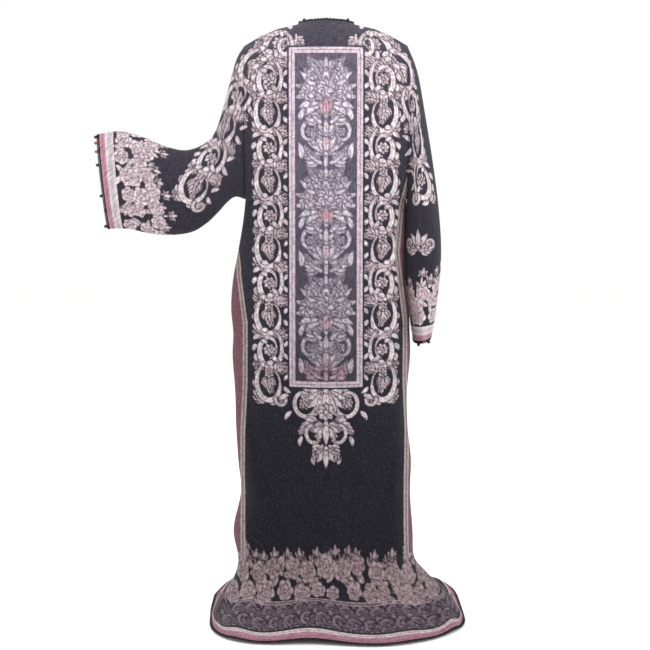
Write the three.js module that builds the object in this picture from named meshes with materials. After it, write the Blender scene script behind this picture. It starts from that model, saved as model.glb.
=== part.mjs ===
// An open-front abaya as it is worn: a wide, floor-length robe of printed woven cloth with dropped
// sleeves, a train that spreads on the floor behind, and a crocheted picot edging.
// Millimetres, +Z up. The back faces -Y, the wearer's left arm is towards -X and is held out.
// The origin is the middle of the neck at the height of the back neckline, where the wearer holds it.
import * as THREE from "three";

// Driving dimensions
const clothThickness = 1.6;
const seamGap = 0.3;
const backLength = 1467; // neckline down to the floor
const neckHalfWidth = 71;
const neckPointDrop = 5; // shoulder seam's inner end, below the back neckline
const frontNeckDrop = 185; // V of the front neckline, below the neck point
const shoulderHalfWidth = 203; // armhole plane, from the middle
const shoulderTipDrop = 57.5;
const underarmDrop = 440.5;
const armholeHalfDepth = 64;
const shoulderRoll = 110; // height over which the cloth rounds down from the shoulder line
const ridgeRise = 27; // shoulder line carried across the neck, above the origin
const frontOpening = 5; // each front edge, from the middle
const edgingWidth = 3.6;
const picotReach = 2.6;
const picotPitch = 9;
const edgingThickness = 2.2;
const edgingGap = 0.8;
const edgingTrim = 3; // left free at the ends of each length of edging
const plainPitch = 90; // longest step of a plain length of edging
const edgingProud = 0.3; // edging's outer face, above the cloth's

// Grid densities
const yokeRows = 10;
const skirtRows = 24;
const shoulderColumns = 9;
const neckColumns = 8;
const frontNeckColumns = 4;
const sleeveColumns = 22;
const sleeveRows = 18;

// The body below the underarm, one row for each level. left and right are the side seams, edgeZ their
// height, backZ and backDepth the centre back, frontZ and frontDepth the centre front, round the
// power of the section's curve (1.2 pointed sides, 0.5 square), bulge the back's widening past the seams,
// flute the depth of the lengthwise folds and ripple the share of trainRidges' height.
const bodySections = [
  { left: 203, right: 203, edgeZ: -441, backZ: -441, backDepth: 104, frontZ: -441, frontDepth: 106, round: 1.2, bulge: 0, flute: 0, ripple: 0 },
  { left: 210, right: 197, edgeZ: -500, backZ: -500, backDepth: 102, frontZ: -500, frontDepth: 106, round: 1.2, bulge: 0, flute: 1, ripple: 0 },
  { left: 223, right: 193, edgeZ: -575, backZ: -575, backDepth: 103, frontZ: -575, frontDepth: 107, round: 1.2, bulge: 0, flute: 2, ripple: 0 },
  { left: 236, right: 195, edgeZ: -645, backZ: -645, backDepth: 108, frontZ: -645, frontDepth: 110, round: 1.18, bulge: 0, flute: 3, ripple: 0 },
  { left: 241, right: 207, edgeZ: -715, backZ: -715, backDepth: 113, frontZ: -715, frontDepth: 112, round: 1.16, bulge: 0, flute: 4, ripple: 0 },
  { left: 236, right: 213, edgeZ: -780, backZ: -780, backDepth: 118, frontZ: -780, frontDepth: 115, round: 1.15, bulge: 0, flute: 4, ripple: 0 },
  { left: 238, right: 214, edgeZ: -840, backZ: -840, backDepth: 121, frontZ: -840, frontDepth: 118, round: 1.14, bulge: 0, flute: 5, ripple: 0 },
  { left: 232, right: 207, edgeZ: -930, backZ: -930, backDepth: 124, frontZ: -930, frontDepth: 122, round: 1.12, bulge: 0, flute: 5, ripple: 0 },
  { left: 230, right: 209, edgeZ: -1020, backZ: -1020, backDepth: 127, frontZ: -1020, frontDepth: 125, round: 1.1, bulge: 0, flute: 6, ripple: 0 },
  { left: 225, right: 218, edgeZ: -1105, backZ: -1105, backDepth: 130, frontZ: -1105, frontDepth: 129, round: 1.08, bulge: 0, flute: 6, ripple: 0 },
  { left: 219, right: 216, edgeZ: -1190, backZ: -1190, backDepth: 134, frontZ: -1190, frontDepth: 134, round: 1.05, bulge: 0, flute: 7, ripple: 0 },
  { left: 238, right: 223, edgeZ: -1285, backZ: -1285, backDepth: 140, frontZ: -1285, frontDepth: 140, round: 1.0, bulge: 0, flute: 7, ripple: 0 },
  { left: 226, right: 228, edgeZ: -1360, backZ: -1352, backDepth: 152, frontZ: -1362, frontDepth: 150, round: 0.92, bulge: 0.02, flute: 7, ripple: 0 },
  { left: 234, right: 262, edgeZ: -1404, backZ: -1398, backDepth: 172, frontZ: -1410, frontDepth: 164, round: 0.82, bulge: 0.05, flute: 6, ripple: 0.15 },
  { left: 252, right: 294, edgeZ: -1436, backZ: -1420, backDepth: 204, frontZ: -1440, frontDepth: 184, round: 0.72, bulge: 0.08, flute: 4, ripple: 0.5 },
  { left: 261, right: 308, edgeZ: -1450, backZ: -1440, backDepth: 250, frontZ: -1453, frontDepth: 205, round: 0.64, bulge: 0.1, flute: 2, ripple: 0.85 },
  { left: 270, right: 318, edgeZ: -1456, backZ: -1441, backDepth: 304, frontZ: -1458, frontDepth: 224, round: 0.58, bulge: 0.12, flute: 1, ripple: 1.0 },
  { left: 277, right: 327, edgeZ: -1459, backZ: -1450, backDepth: 366, frontZ: -1460, frontDepth: 240, round: 0.54, bulge: 0.13, flute: 0, ripple: 0.8 },
  { left: 283, right: 334, edgeZ: -1461, backZ: -1460, backDepth: 428, frontZ: -1461, frontDepth: 250, round: 0.5, bulge: 0.14, flute: 0, ripple: 0.35 },
];
const hemClearance = 4; // outer face of the hem, above the floor

// The largest drape folds: side -1 on the back, 1 on the fronts, ends as [x, z], width from crest to
// foot, rise outwards when positive and inwards when negative
const drapeFolds = [
  { side: -1, from: [-8, -1130], to: [-10, -1390], width: 26, rise: 5 },
  { side: -1, from: [-185, -960], to: [-85, -1330], width: 34, rise: -9 },
  { side: -1, from: [190, -1040], to: [105, -1370], width: 32, rise: -9 },
  { side: -1, from: [-195, -590], to: [-140, -900], width: 32, rise: 7 },
  { side: -1, from: [-190, -400], to: [-110, -590], width: 32, rise: -9 },
  { side: -1, from: [190, -400], to: [130, -640], width: 32, rise: -9 },
  { side: -1, from: [-140, -150], to: [-160, -390], width: 30, rise: -6 },
  { side: -1, from: [140, -150], to: [165, -390], width: 30, rise: -6 },
  { side: -1, from: [60, -700], to: [95, -1120], width: 36, rise: 6 },
  { side: 1, from: [-170, -420], to: [-60, -760], width: 34, rise: -9 },
  { side: 1, from: [165, -420], to: [65, -800], width: 34, rise: -9 },
  { side: 1, from: [-90, -820], to: [-125, -1340], width: 36, rise: 9 },
  { side: 1, from: [95, -860], to: [120, -1340], width: 36, rise: 8 },
  { side: 1, from: [-150, -190], to: [-120, -420], width: 30, rise: -6 },
  { side: 1, from: [150, -190], to: [120, -420], width: 30, rise: -6 },
];

// Ridges of cloth across the train, by place round the hem (side and u), half width in u and height
const trainRidges = [
  { side: -1, u: -0.86, width: 0.09, height: 16, lean: 0.1 },
  { side: -1, u: -0.45, width: 0.08, height: 12, lean: -0.12 },
  { side: -1, u: -0.08, width: 0.17, height: 26, lean: 0.06 },
  { side: -1, u: 0.36, width: 0.08, height: 9, lean: -0.1 },
  { side: -1, u: 0.62, width: 0.08, height: 16, lean: 0.1 },
  { side: -1, u: 0.86, width: 0.09, height: 18, lean: -0.08 },
  { side: 1, u: -0.7, width: 0.13, height: 14, lean: 0.1 },
  { side: 1, u: -0.28, width: 0.12, height: 9, lean: -0.08 },
  { side: 1, u: 0.34, width: 0.12, height: 11, lean: 0.06 },
  { side: 1, u: 0.74, width: 0.13, height: 15, lean: -0.1 },
];
const frontHemRound = 0.9; // least power of the fronts' section curve
const hemWaves = 9; // in and out of the hem, seen from above
const hemWave = 0.018; // as a share of the width
const fluteTurns = 1.6; // lengthwise folds across a half of the body
const frontNeckCurve = 1.15; // 1 is a straight V, more hollows it
const yokeRowBunching = 0.72; // 0 is even rows, 1 bunches them where the shoulder rounds over

// Depth of the centre back and centre front above the underarm, by height
const yokeDepths = [
  { z: 30, back: 108, front: 92 },
  { z: -60, back: 109, front: 98 },
  { z: -150, back: 115, front: 108 },
  { z: -250, back: 114, front: 117 },
  { z: -350, back: 108, front: 112 },
  { z: -441, back: 104, front: 106 },
];

// Height of the shoulder line by distance from the middle
const shoulderLine = [
  { x: 0, z: ridgeRise },
  { x: 40, z: 14 },
  { x: neckHalfWidth, z: -neckPointDrop },
  { x: 120, z: -16 },
  { x: 160, z: -32 },
  { x: shoulderHalfWidth, z: -shoulderTipDrop },
];

// Sleeve rings from armhole to cuff. outX and outZ are the ring's upper or outer point, inX and inZ
// its lower or inner one, midY its middle, halfDepth half its reach along Y, fold its crease depth.
const leftSleeveRings = [
  { outX: 203, outZ: -57.5, inX: 203, inZ: -440.5, midY: 0, halfDepth: 64, fold: 0 },
  { outX: 224, outZ: -93, inX: 228, inZ: -434, midY: 0, halfDepth: 70, fold: 2 },
  { outX: 248, outZ: -176, inX: 249, inZ: -448, midY: 2, halfDepth: 70, fold: 5 },
  { outX: 277, outZ: -268, inX: 273, inZ: -474, midY: 5, halfDepth: 62, fold: 8 },
  { outX: 311, outZ: -303, inX: 303, inZ: -502, midY: 8, halfDepth: 58, fold: 9 },
  { outX: 356, outZ: -317, inX: 342, inZ: -524, midY: 10, halfDepth: 59, fold: 7 },
  { outX: 408, outZ: -306, inX: 398, inZ: -531, midY: 12, halfDepth: 57, fold: 4 },
  { outX: 459, outZ: -285, inX: 451, inZ: -526, midY: 14, halfDepth: 51, fold: 3 },
  { outX: 510, outZ: -270, inX: 497, inZ: -516, midY: 15, halfDepth: 45, fold: 2 },
  { outX: 551, outZ: -272, inX: 530, inZ: -515, midY: 16, halfDepth: 39, fold: 2 },
  { outX: 572, outZ: -277, inX: 548, inZ: -515, midY: 16, halfDepth: 35, fold: 1 },
];
const rightSleeveRings = [
  { outX: 203, outZ: -57.5, inX: 203, inZ: -440.5, midY: 0, halfDepth: 64, fold: 0 },
  { outX: 229, outZ: -124, inX: 209, inZ: -443, midY: 2, halfDepth: 70, fold: 1 },
  { outX: 250, outZ: -234, inX: 209, inZ: -462, midY: 8, halfDepth: 76, fold: 3 },
  { outX: 268, outZ: -337, inX: 208, inZ: -490, midY: 16, halfDepth: 80, fold: 4 },
  { outX: 283, outZ: -440, inX: 206, inZ: -525, midY: 22, halfDepth: 84, fold: 4 },
  { outX: 292, outZ: -540, inX: 205, inZ: -578, midY: 26, halfDepth: 88, fold: 4 },
  { outX: 292, outZ: -618, inX: 207, inZ: -638, midY: 29, halfDepth: 92, fold: 5 },
  { outX: 285, outZ: -686, inX: 214, inZ: -697, midY: 31, halfDepth: 96, fold: 4 },
  { outX: 277, outZ: -752, inX: 222, inZ: -758, midY: 33, halfDepth: 99, fold: 3 },
  { outX: 269, outZ: -786, inX: 226, inZ: -798, midY: 34, halfDepth: 100, fold: 1 },
];

const quarterTurn = Math.PI / 2;

// Catmull-Rom through one named column of a table, share running from 0 to 1 over its rows
function tableAt(table, column, share) {
  const place = THREE.MathUtils.clamp(share, 0, 1) * (table.length - 1);
  const row = Math.min(Math.floor(place), table.length - 2);
  const t = place - row;
  const value = (k) => table[THREE.MathUtils.clamp(k, 0, table.length - 1)][column];
  const [a, b, c, d] = [value(row - 1), value(row), value(row + 1), value(row + 2)];
  const slopeB = (c - a) / 2;
  const slopeC = (d - b) / 2;
  const t2 = t * t;
  const t3 = t2 * t;
  return (2 * t3 - 3 * t2 + 1) * b + (t3 - 2 * t2 + t) * slopeB + (3 * t2 - 2 * t3) * c + (t3 - t2) * slopeC;
}

// Straight lines through a table, read by its key column
function tableBy(table, key, column, at) {
  const falling = table[0][key] > table[table.length - 1][key];
  for (let k = 1; k < table.length; k++) {
    const inside = falling ? at >= table[k][key] : at <= table[k][key];
    if (inside || k === table.length - 1) {
      const share = (at - table[k - 1][key]) / (table[k][key] - table[k - 1][key]);
      return THREE.MathUtils.lerp(table[k - 1][column], table[k][column], THREE.MathUtils.clamp(share, 0, 1));
    }
  }
}

// Outward rise of the drape folds at a point of the body
function foldRise(side, x, z) {
  let rise = 0;
  for (const fold of drapeFolds) {
    if (fold.side !== side) continue;
    const [x0, z0] = fold.from;
    const [x1, z1] = fold.to;
    const along = ((x - x0) * (x1 - x0) + (z - z0) * (z1 - z0)) / ((x1 - x0) ** 2 + (z1 - z0) ** 2);
    const t = THREE.MathUtils.clamp(along, 0, 1);
    const away = Math.hypot(x - THREE.MathUtils.lerp(x0, x1, t), z - THREE.MathUtils.lerp(z0, z1, t));
    rise += fold.rise * Math.exp(-((away / fold.width) ** 2));
  }
  return rise;
}

// Height of the train's ridges, share running from the underarm to the hem
function ridgeHeight(side, u, share) {
  let height = 0;
  for (const ridge of trainRidges) {
    if (ridge.side !== side) continue;
    const away = (u - ridge.u - ridge.lean * (1 - share)) / ridge.width;
    height += ridge.height * Math.exp(-(away ** 2));
  }
  return height;
}

// The cloth above the underarm: side -1 is the back and 1 the front
function yokePoint(side, x, z) {
  const ridge = tableBy(shoulderLine, "x", "z", Math.abs(x));
  const drop = THREE.MathUtils.clamp((ridge - z) / shoulderRoll, 0, 1);
  const roll = Math.sqrt(1 - (1 - drop) ** 2);
  const middle = roll * tableBy(yokeDepths, "z", side < 0 ? "back" : "front", z);
  const armholeHalf = (underarmDrop - shoulderTipDrop) / 2;
  const level = THREE.MathUtils.clamp((z + shoulderTipDrop + armholeHalf) / armholeHalf, -1, 1);
  const edge = armholeHalfDepth * Math.sqrt(1 - level ** 2);
  const sine = Math.min(Math.abs(x) / shoulderHalfWidth, 1);
  const share = Math.pow(1 - sine ** 2, bodySections[0].round / 2);
  const depth = THREE.MathUtils.lerp(edge, middle, share) + foldRise(side, x, z) * (1 - sine ** 6);
  return new THREE.Vector3(x, side * Math.max(depth, seamGap / 2), z);
}

// Upper edge of the cloth: shoulder seam, back neckline or front V
function topHeight(side, x) {
  const across = Math.min(Math.abs(x) / neckHalfWidth, 1);
  if (across >= 1) return tableBy(shoulderLine, "x", "z", Math.abs(x));
  if (side < 0) return -neckPointDrop + neckPointDrop * Math.sqrt(1 - across ** 2);
  return -neckPointDrop - frontNeckDrop * (1 - across) ** frontNeckCurve;
}

// A point of the body, u across from -1 to 1 and v down from 0 to 1. The first part of v is the yoke.
const yokeShare = yokeRows / (yokeRows + skirtRows);
function bodyPoint(side, u, v) {
  const angle = quarterTurn * u;
  const sine = Math.sin(angle);
  const cosine = Math.max(Math.cos(angle), 0);
  if (v <= yokeShare) {
    const x = shoulderHalfWidth * sine;
    const top = topHeight(side, x);
    const even = v / yokeShare;
    const down = THREE.MathUtils.lerp(even, 1 - Math.cos(quarterTurn * even), yokeRowBunching);
    return yokePoint(side, x, THREE.MathUtils.lerp(top, -underarmDrop, down));
  }
  const share = (v - yokeShare) / (1 - yokeShare);
  const at = (column) => tableAt(bodySections, column, share);
  const round = Math.pow(cosine, side < 0 ? at("round") : Math.max(at("round"), frontHemRound));
  const inward = 1 - Math.abs(u) ** 6;
  const spread = side < 0 ? at("bulge") * Math.sin(2 * Math.abs(angle)) ** 2 : 0;
  const waviness = hemWave * Math.sin(hemWaves * u + side) * inward * share ** 16;
  const width = (u < 0 ? at("left") : at("right")) * (1 + spread + waviness);
  const flute = at("flute") * inward * Math.sin(2 * Math.PI * fluteTurns * u + 0.8 + 1.4 * share);
  const height = THREE.MathUtils.lerp(at("edgeZ"), side < 0 ? at("backZ") : at("frontZ"), cosine);
  const rise = foldRise(side, width * sine, height) * inward;
  const reach = (side < 0 ? at("backDepth") : at("frontDepth")) * (1 + 2 * waviness);
  const depth = reach * round + flute + rise;
  const z = Math.max(height + at("ripple") * ridgeHeight(side, u, share) * inward, hemClearance - backLength);
  return new THREE.Vector3(width * sine, side * Math.max(depth, seamGap / 2), z);
}

// A point of a sleeve, turn round the ring from 0 to 1 starting at its lower point, v from armhole to cuff
function sleevePoint(rings, side, turn, v) {
  const at = (column) => tableAt(rings, column, v);
  const angle = 4 * quarterTurn * turn;
  const out = (1 - Math.cos(angle)) / 2;
  const crease = at("fold") * Math.sin(3 * angle + 9 * v);
  const depth = at("halfDepth") * Math.sin(angle) + crease * Math.abs(Math.sin(angle));
  const x = THREE.MathUtils.lerp(at("inX"), at("outX"), out);
  const z = THREE.MathUtils.lerp(at("inZ"), at("outZ"), out);
  return new THREE.Vector3(side * (x + seamGap), at("midY") + depth, z);
}

// A closed wall of cloth from a grid of outer points. keep(r, c, normal) may change a rim's direction.
function wall(grid, { wrap = false, flip = false, keep = (r, c, n) => n, thickness = clothThickness } = {}) {
  const rows = grid.length;
  const columns = grid[0].length;
  const pick = (r, c) => grid[r][wrap ? (c + columns) % columns : THREE.MathUtils.clamp(c, 0, columns - 1)];
  const positions = [];
  for (const inner of [false, true]) {
    for (let r = 0; r < rows; r++) {
      for (let c = 0; c < columns; c++) {
        const down = pick(Math.min(r + 1, rows - 1), c).clone().sub(pick(Math.max(r - 1, 0), c));
        const across = pick(r, c + 1).clone().sub(pick(r, c - 1));
        let normal = down.cross(across).normalize();
        if (flip) normal.negate();
        normal = keep(r, c, normal).normalize();
        const p = grid[r][c].clone();
        if (inner) p.addScaledVector(normal, -thickness);
        positions.push(p.x, p.y, p.z);
      }
    }
  }
  const indices = [];
  const outer = (r, c) => r * columns + (c % columns);
  const inside = (r, c) => rows * columns + outer(r, c);
  const quad = (a, b, c, d) => indices.push(a, b, c, a, c, d);
  const last = wrap ? columns : columns - 1;
  for (let r = 0; r < rows - 1; r++) {
    for (let c = 0; c < last; c++) {
      quad(outer(r, c), outer(r + 1, c), outer(r + 1, c + 1), outer(r, c + 1));
      quad(inside(r, c), inside(r, c + 1), inside(r + 1, c + 1), inside(r + 1, c));
    }
  }
  for (let c = 0; c < last; c++) {
    quad(outer(0, c), outer(0, c + 1), inside(0, c + 1), inside(0, c));
    quad(outer(rows - 1, c + 1), outer(rows - 1, c), inside(rows - 1, c), inside(rows - 1, c + 1));
  }
  if (!wrap) {
    for (let r = 0; r < rows - 1; r++) {
      quad(outer(r + 1, 0), outer(r, 0), inside(r, 0), inside(r + 1, 0));
      quad(outer(r, last), outer(r + 1, last), inside(r + 1, last), inside(r, last));
    }
  }
  return closedGeometry(positions, indices);
}

// Indexed geometry whose faces point out
function closedGeometry(positions, indices) {
  let volume = 0;
  const corner = (k) => new THREE.Vector3().fromArray(positions, 3 * k);
  for (let k = 0; k < indices.length; k += 3) {
    volume += corner(indices[k]).dot(corner(indices[k + 1]).cross(corner(indices[k + 2])));
  }
  if (volume < 0) {
    for (let k = 0; k < indices.length; k += 3) {
      [indices[k + 1], indices[k + 2]] = [indices[k + 2], indices[k + 1]];
    }
  }
  const geometry = new THREE.BufferGeometry();
  geometry.setAttribute("position", new THREE.Float32BufferAttribute(positions, 3));
  geometry.setIndex(indices);
  geometry.computeVertexNormals();
  return geometry;
}

function steps(from, to, count) {
  return Array.from({ length: count + 1 }, (_, k) => THREE.MathUtils.lerp(from, to, k / count));
}

const neckU = Math.asin(neckHalfWidth / shoulderHalfWidth) / quarterTurn;
const frontEdgeU = Math.asin(frontOpening / shoulderHalfWidth) / quarterTurn;
const rowShares = steps(0, 1, yokeRows + skirtRows);
const backShares = [
  ...steps(-1, -neckU, shoulderColumns),
  ...steps(-neckU, neckU, neckColumns).slice(1, -1),
  ...steps(neckU, 1, shoulderColumns),
];

function materialOf(color, roughness) {
  return new THREE.MeshStandardMaterial({ color, roughness, metalness: 0 });
}
const printedCloth = materialOf("#34323c", 0.9);
const blackThread = materialOf("#16151a", 0.75);

const abaya = new THREE.Group();
function addPiece(name, geometry, material) {
  const mesh = new THREE.Mesh(geometry, material);
  mesh.name = name;
  abaya.add(mesh);
}

// Rims at the side seams and armholes stay in the seam's own plane
function bodyRims(shares) {
  return (r, c, normal) => {
    const atArmhole = rowShares[r] <= yokeShare;
    if (Math.abs(shares[c]) === 1 && atArmhole) normal.x = 0;
    if (Math.abs(shares[c]) === 1 && (!atArmhole || r === yokeRows || r === 0)) {
      return new THREE.Vector3(Math.sign(shares[c]), 0, 0);
    }
    if (r === 0 && Math.abs(shares[c]) > neckU - 1e-6) normal.y = 0;
    return normal.lengthSq() < 1e-6 ? new THREE.Vector3(0, 0, 1) : normal;
  };
}

// Back, cut in one from shoulder seams to train
const grids = {};
grids.back = rowShares.map((v) => backShares.map((u) => bodyPoint(-1, u, v)));
addPiece("back", wall(grids.back, { keep: bodyRims(backShares) }), printedCloth);

// The two fronts, which meet edge to edge
const frontShares = [
  ...steps(frontEdgeU, neckU, frontNeckColumns),
  ...steps(neckU, 1, shoulderColumns).slice(1),
];
function frontPoint(hand, u, v) {
  const p = bodyPoint(1, hand * u, v);
  if (u === frontEdgeU) p.x = hand * frontOpening;
  return p;
}
for (const [name, hand] of [["front_left", -1], ["front_right", 1]]) {
  const shares = frontShares.map((u) => hand * u);
  grids[name] = rowShares.map((v) => frontShares.map((u) => frontPoint(hand, u, v)));
  addPiece(name, wall(grids[name], { flip: hand > 0, keep: bodyRims(shares) }), printedCloth);
}

// Sleeves, tubes from the armhole plane to the cuff
const turns = steps(0, 1, sleeveColumns).slice(0, -1);
for (const [name, rings, side] of [
  ["sleeve_left", leftSleeveRings, -1],
  ["sleeve_right", rightSleeveRings, 1],
]) {
  grids[name] = steps(0, 1, sleeveRows).map((v) => turns.map((turn) => sleevePoint(rings, side, turn, v)));
  const keep = (r, c, normal) => {
    if (r === 0) normal.x = 0;
    return normal;
  };
  addPiece(name, wall(grids[name], { wrap: true, flip: side > 0, keep }), printedCloth);
}

// A flat strip that runs along an edge of the cloth. Each station has the edge point, the direction
// away from the cloth and the cloth's face normal. Picots reach out at every second station.
function edgingStrip(stations, { closed = false, picots = true } = {}) {
  const positions = [];
  stations.forEach(({ point, away, face }, k) => {
    const reach = edgingWidth + (picots && k % 2 ? picotReach : 0);
    for (const [out, up] of [[edgingGap, 0], [reach, 0], [reach, -1], [edgingGap, -1]]) {
      const p = point.clone().addScaledVector(away, out).addScaledVector(face, up * edgingThickness + edgingProud);
      positions.push(p.x, p.y, p.z);
    }
  });
  const indices = [];
  const count = stations.length;
  const quad = (a, b, c, d) => indices.push(a, b, c, a, c, d);
  for (let k = 0; k < (closed ? count : count - 1); k++) {
    const next = (k + 1) % count;
    for (let side = 0; side < 4; side++) {
      const turned = (side + 1) % 4;
      quad(4 * k + side, 4 * next + side, 4 * next + turned, 4 * k + turned);
    }
  }
  if (!closed) {
    const end = 4 * (count - 1);
    quad(0, 1, 2, 3);
    quad(end + 3, end + 2, end + 1, end);
  }
  return closedGeometry(positions, indices);
}

// Stations along a rim of the cloth: its own points, with each length between them cut into an even
// number of steps, so that every second one can be a picot. inside holds the next points in.
function stationsAlong(edge, inside, pitch, { closed = false, trim = 0 } = {}) {
  const count = edge.length;
  const pointAt = (k) => edge[closed ? (k + count) % count : THREE.MathUtils.clamp(k, 0, count - 1)];
  const awayAt = (k) => {
    const tangent = pointAt(k + 1).clone().sub(pointAt(k - 1)).normalize();
    const away = pointAt(k).clone().sub(inside[k % count]);
    return away.addScaledVector(tangent, -away.dot(tangent)).normalize();
  };
  const stations = [];
  for (let k = 0; k < (closed ? count : count - 1); k++) {
    const length = pointAt(k).distanceTo(pointAt(k + 1));
    const parts = 2 * Math.max(1, Math.round(length / pitch));
    const tangent = pointAt(k + 1).clone().sub(pointAt(k)).normalize();
    for (let part = 0; part < parts; part++) {
      const share = part / parts;
      const away = awayAt(k).lerp(awayAt(k + 1), share).normalize();
      stations.push({ point: pointAt(k).clone().lerp(pointAt(k + 1), share), away, tangent });
    }
  }
  if (!closed) {
    const tangent = stations.at(-1).tangent;
    stations.push({ point: edge.at(-1).clone(), away: awayAt(count - 1), tangent });
    stations[0].point.addScaledVector(stations[0].tangent, trim);
    stations.at(-1).point.addScaledVector(tangent, -trim);
  }
  for (const station of stations) station.face = station.tangent.clone().cross(station.away).normalize();
  return stations;
}

// Neckline: up one front, round the back neck and down the other front, to the foot of the V
const neckRim = (r) => [
  ...grids.front_left[r].slice(0, frontNeckColumns + 1),
  ...grids.back[r].slice(shoulderColumns + 1, shoulderColumns + neckColumns),
  ...grids.front_right[r].slice(0, frontNeckColumns + 1).reverse(),
];
const neckStations = stationsAlong(neckRim(0), neckRim(1), picotPitch, { trim: edgingTrim });
addPiece("neck_edging", edgingStrip(neckStations), blackThread);

// Front edges, below the V
for (const hand of ["left", "right"]) {
  const column = (c) => grids[`front_${hand}`].map((row) => row[c]);
  const stations = stationsAlong(column(0), column(1), plainPitch, { trim: edgingTrim });
  addPiece(`front_edging_${hand}`, edgingStrip(stations, { picots: false }), blackThread);
}

// Cuffs
for (const hand of ["left", "right"]) {
  const grid = grids[`sleeve_${hand}`];
  const stations = stationsAlong(grid[sleeveRows], grid[sleeveRows - 1], picotPitch, { closed: true });
  addPiece(`cuff_edging_${hand}`, edgingStrip(stations, { closed: true }), blackThread);
}

// Hem, in three lengths that follow the back and the two fronts
for (const [name, panel] of [
  ["hem_edging_back", "back"],
  ["hem_edging_left", "front_left"],
  ["hem_edging_right", "front_right"],
]) {
  const grid = grids[panel];
  const stations = stationsAlong(grid.at(-1), grid.at(-2), plainPitch, { trim: 2 * edgingTrim });
  addPiece(name, edgingStrip(stations, { picots: false }), blackThread);
}

export default abaya;
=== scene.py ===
import math
import bpy
import numpy as np
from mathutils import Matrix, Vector


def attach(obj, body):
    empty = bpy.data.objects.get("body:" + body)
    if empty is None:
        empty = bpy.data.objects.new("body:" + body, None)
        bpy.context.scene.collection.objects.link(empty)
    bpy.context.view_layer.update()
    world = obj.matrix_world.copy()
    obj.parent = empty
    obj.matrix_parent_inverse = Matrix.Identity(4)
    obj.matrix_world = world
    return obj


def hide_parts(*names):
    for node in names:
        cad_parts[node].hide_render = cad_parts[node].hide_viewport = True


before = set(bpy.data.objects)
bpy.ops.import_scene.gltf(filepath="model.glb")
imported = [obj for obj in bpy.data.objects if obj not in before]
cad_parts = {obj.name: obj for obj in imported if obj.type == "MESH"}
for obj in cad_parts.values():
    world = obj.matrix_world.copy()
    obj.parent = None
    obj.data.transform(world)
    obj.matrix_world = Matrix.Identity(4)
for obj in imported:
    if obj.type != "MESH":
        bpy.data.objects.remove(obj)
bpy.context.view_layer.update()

# An abaya seen from its back (-Y). Surfaces are worked out in millimetres, as the CAD does, and the
# meshes are written in metres.
millimetre = 0.001
halfPi = math.pi / 2


def linear(code):
    # sRGB hex to linear RGBA
    values = [int(code[k:k + 2], 16) / 255 for k in (1, 3, 5)]
    return tuple(c / 12.92 if c <= 0.04045 else ((c + 0.055) / 1.055) ** 2.4 for c in values) + (1.0,)


def lerp(a, b, t):
    return a + (b - a) * t


def smoothStep(a, b, x):
    t = np.clip((x - a) / (b - a), 0, 1)
    return t * t * (3 - 2 * t)


# the cloth's shape as it is worn
body = {
    "shoulderHalf": 203,
    "neckHalf": 71,
    "neckPointDrop": 5,
    "frontNeckDrop": 185,
    "frontNeckCurve": 1.15,
    "shoulderTipDrop": 57.5,
    "underarmDrop": 440.5,
    "armholeHalfDepth": 64,
    "shoulderRoll": 110,
    "rowBunching": 0.72,
    "yokeShare": 10 / 34,
    "hemLow": -1463,
    "frontOpening": 5,
    "seam": 0.15,
    "frontHemRound": 0.9,
    "hemWaves": 9,
    "hemWave": 0.018,
    "fluteTurns": 1.6,
}
sectionColumns = ["left", "right", "edgeZ", "backZ", "backDepth", "frontZ", "frontDepth",
                  "round", "bulge", "flute", "ripple"]
sections = np.array([
    [203, 203, -441, -441, 104, -441, 106, 1.2, 0, 0, 0],
    [210, 201, -500, -500, 102, -500, 106, 1.2, 0, 1, 0],
    [223, 198, -575, -575, 103, -575, 107, 1.2, 0, 2, 0],
    [236, 200, -645, -645, 108, -645, 110, 1.18, 0, 3, 0],
    [241, 210, -715, -715, 113, -715, 112, 1.16, 0, 4, 0],
    [236, 213, -780, -780, 118, -780, 115, 1.15, 0, 4, 0],
    [238, 214, -840, -840, 121, -840, 118, 1.14, 0, 5, 0],
    [232, 207, -930, -930, 124, -930, 122, 1.12, 0, 5, 0],
    [230, 209, -1020, -1020, 127, -1020, 125, 1.1, 0, 6, 0],
    [225, 218, -1105, -1105, 130, -1105, 129, 1.08, 0, 6, 0],
    [219, 216, -1190, -1190, 134, -1190, 134, 1.05, 0, 7, 0],
    [238, 223, -1285, -1285, 140, -1285, 140, 1.0, 0, 7, 0],
    [226, 228, -1360, -1352, 152, -1362, 150, 0.92, 0.02, 7, 0],
    [234, 262, -1404, -1398, 172, -1410, 164, 0.82, 0.05, 6, 0.15],
    [252, 294, -1436, -1420, 204, -1440, 184, 0.72, 0.08, 4, 0.5],
    [261, 308, -1450, -1440, 250, -1453, 205, 0.64, 0.1, 2, 0.85],
    [270, 318, -1456, -1441, 304, -1458, 224, 0.58, 0.12, 1, 1],
    [277, 327, -1459, -1450, 366, -1460, 240, 0.54, 0.13, 0, 0.8],
    [283, 334, -1461, -1460, 428, -1461, 250, 0.5, 0.14, 0, 0.35],
], dtype=float)
# z, back depth, front depth of the yoke
yokeDepths = np.array([
    [-441, 104, 106], [-350, 108, 112], [-250, 114, 117], [-150, 115, 108], [-60, 109, 98], [30, 108, 92],
], dtype=float)
# x, z of the shoulder line
shoulderLine = np.array([
    [0, 27], [40, 14], [71, -5], [120, -16], [160, -32], [203, -57.5],
], dtype=float)
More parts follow.
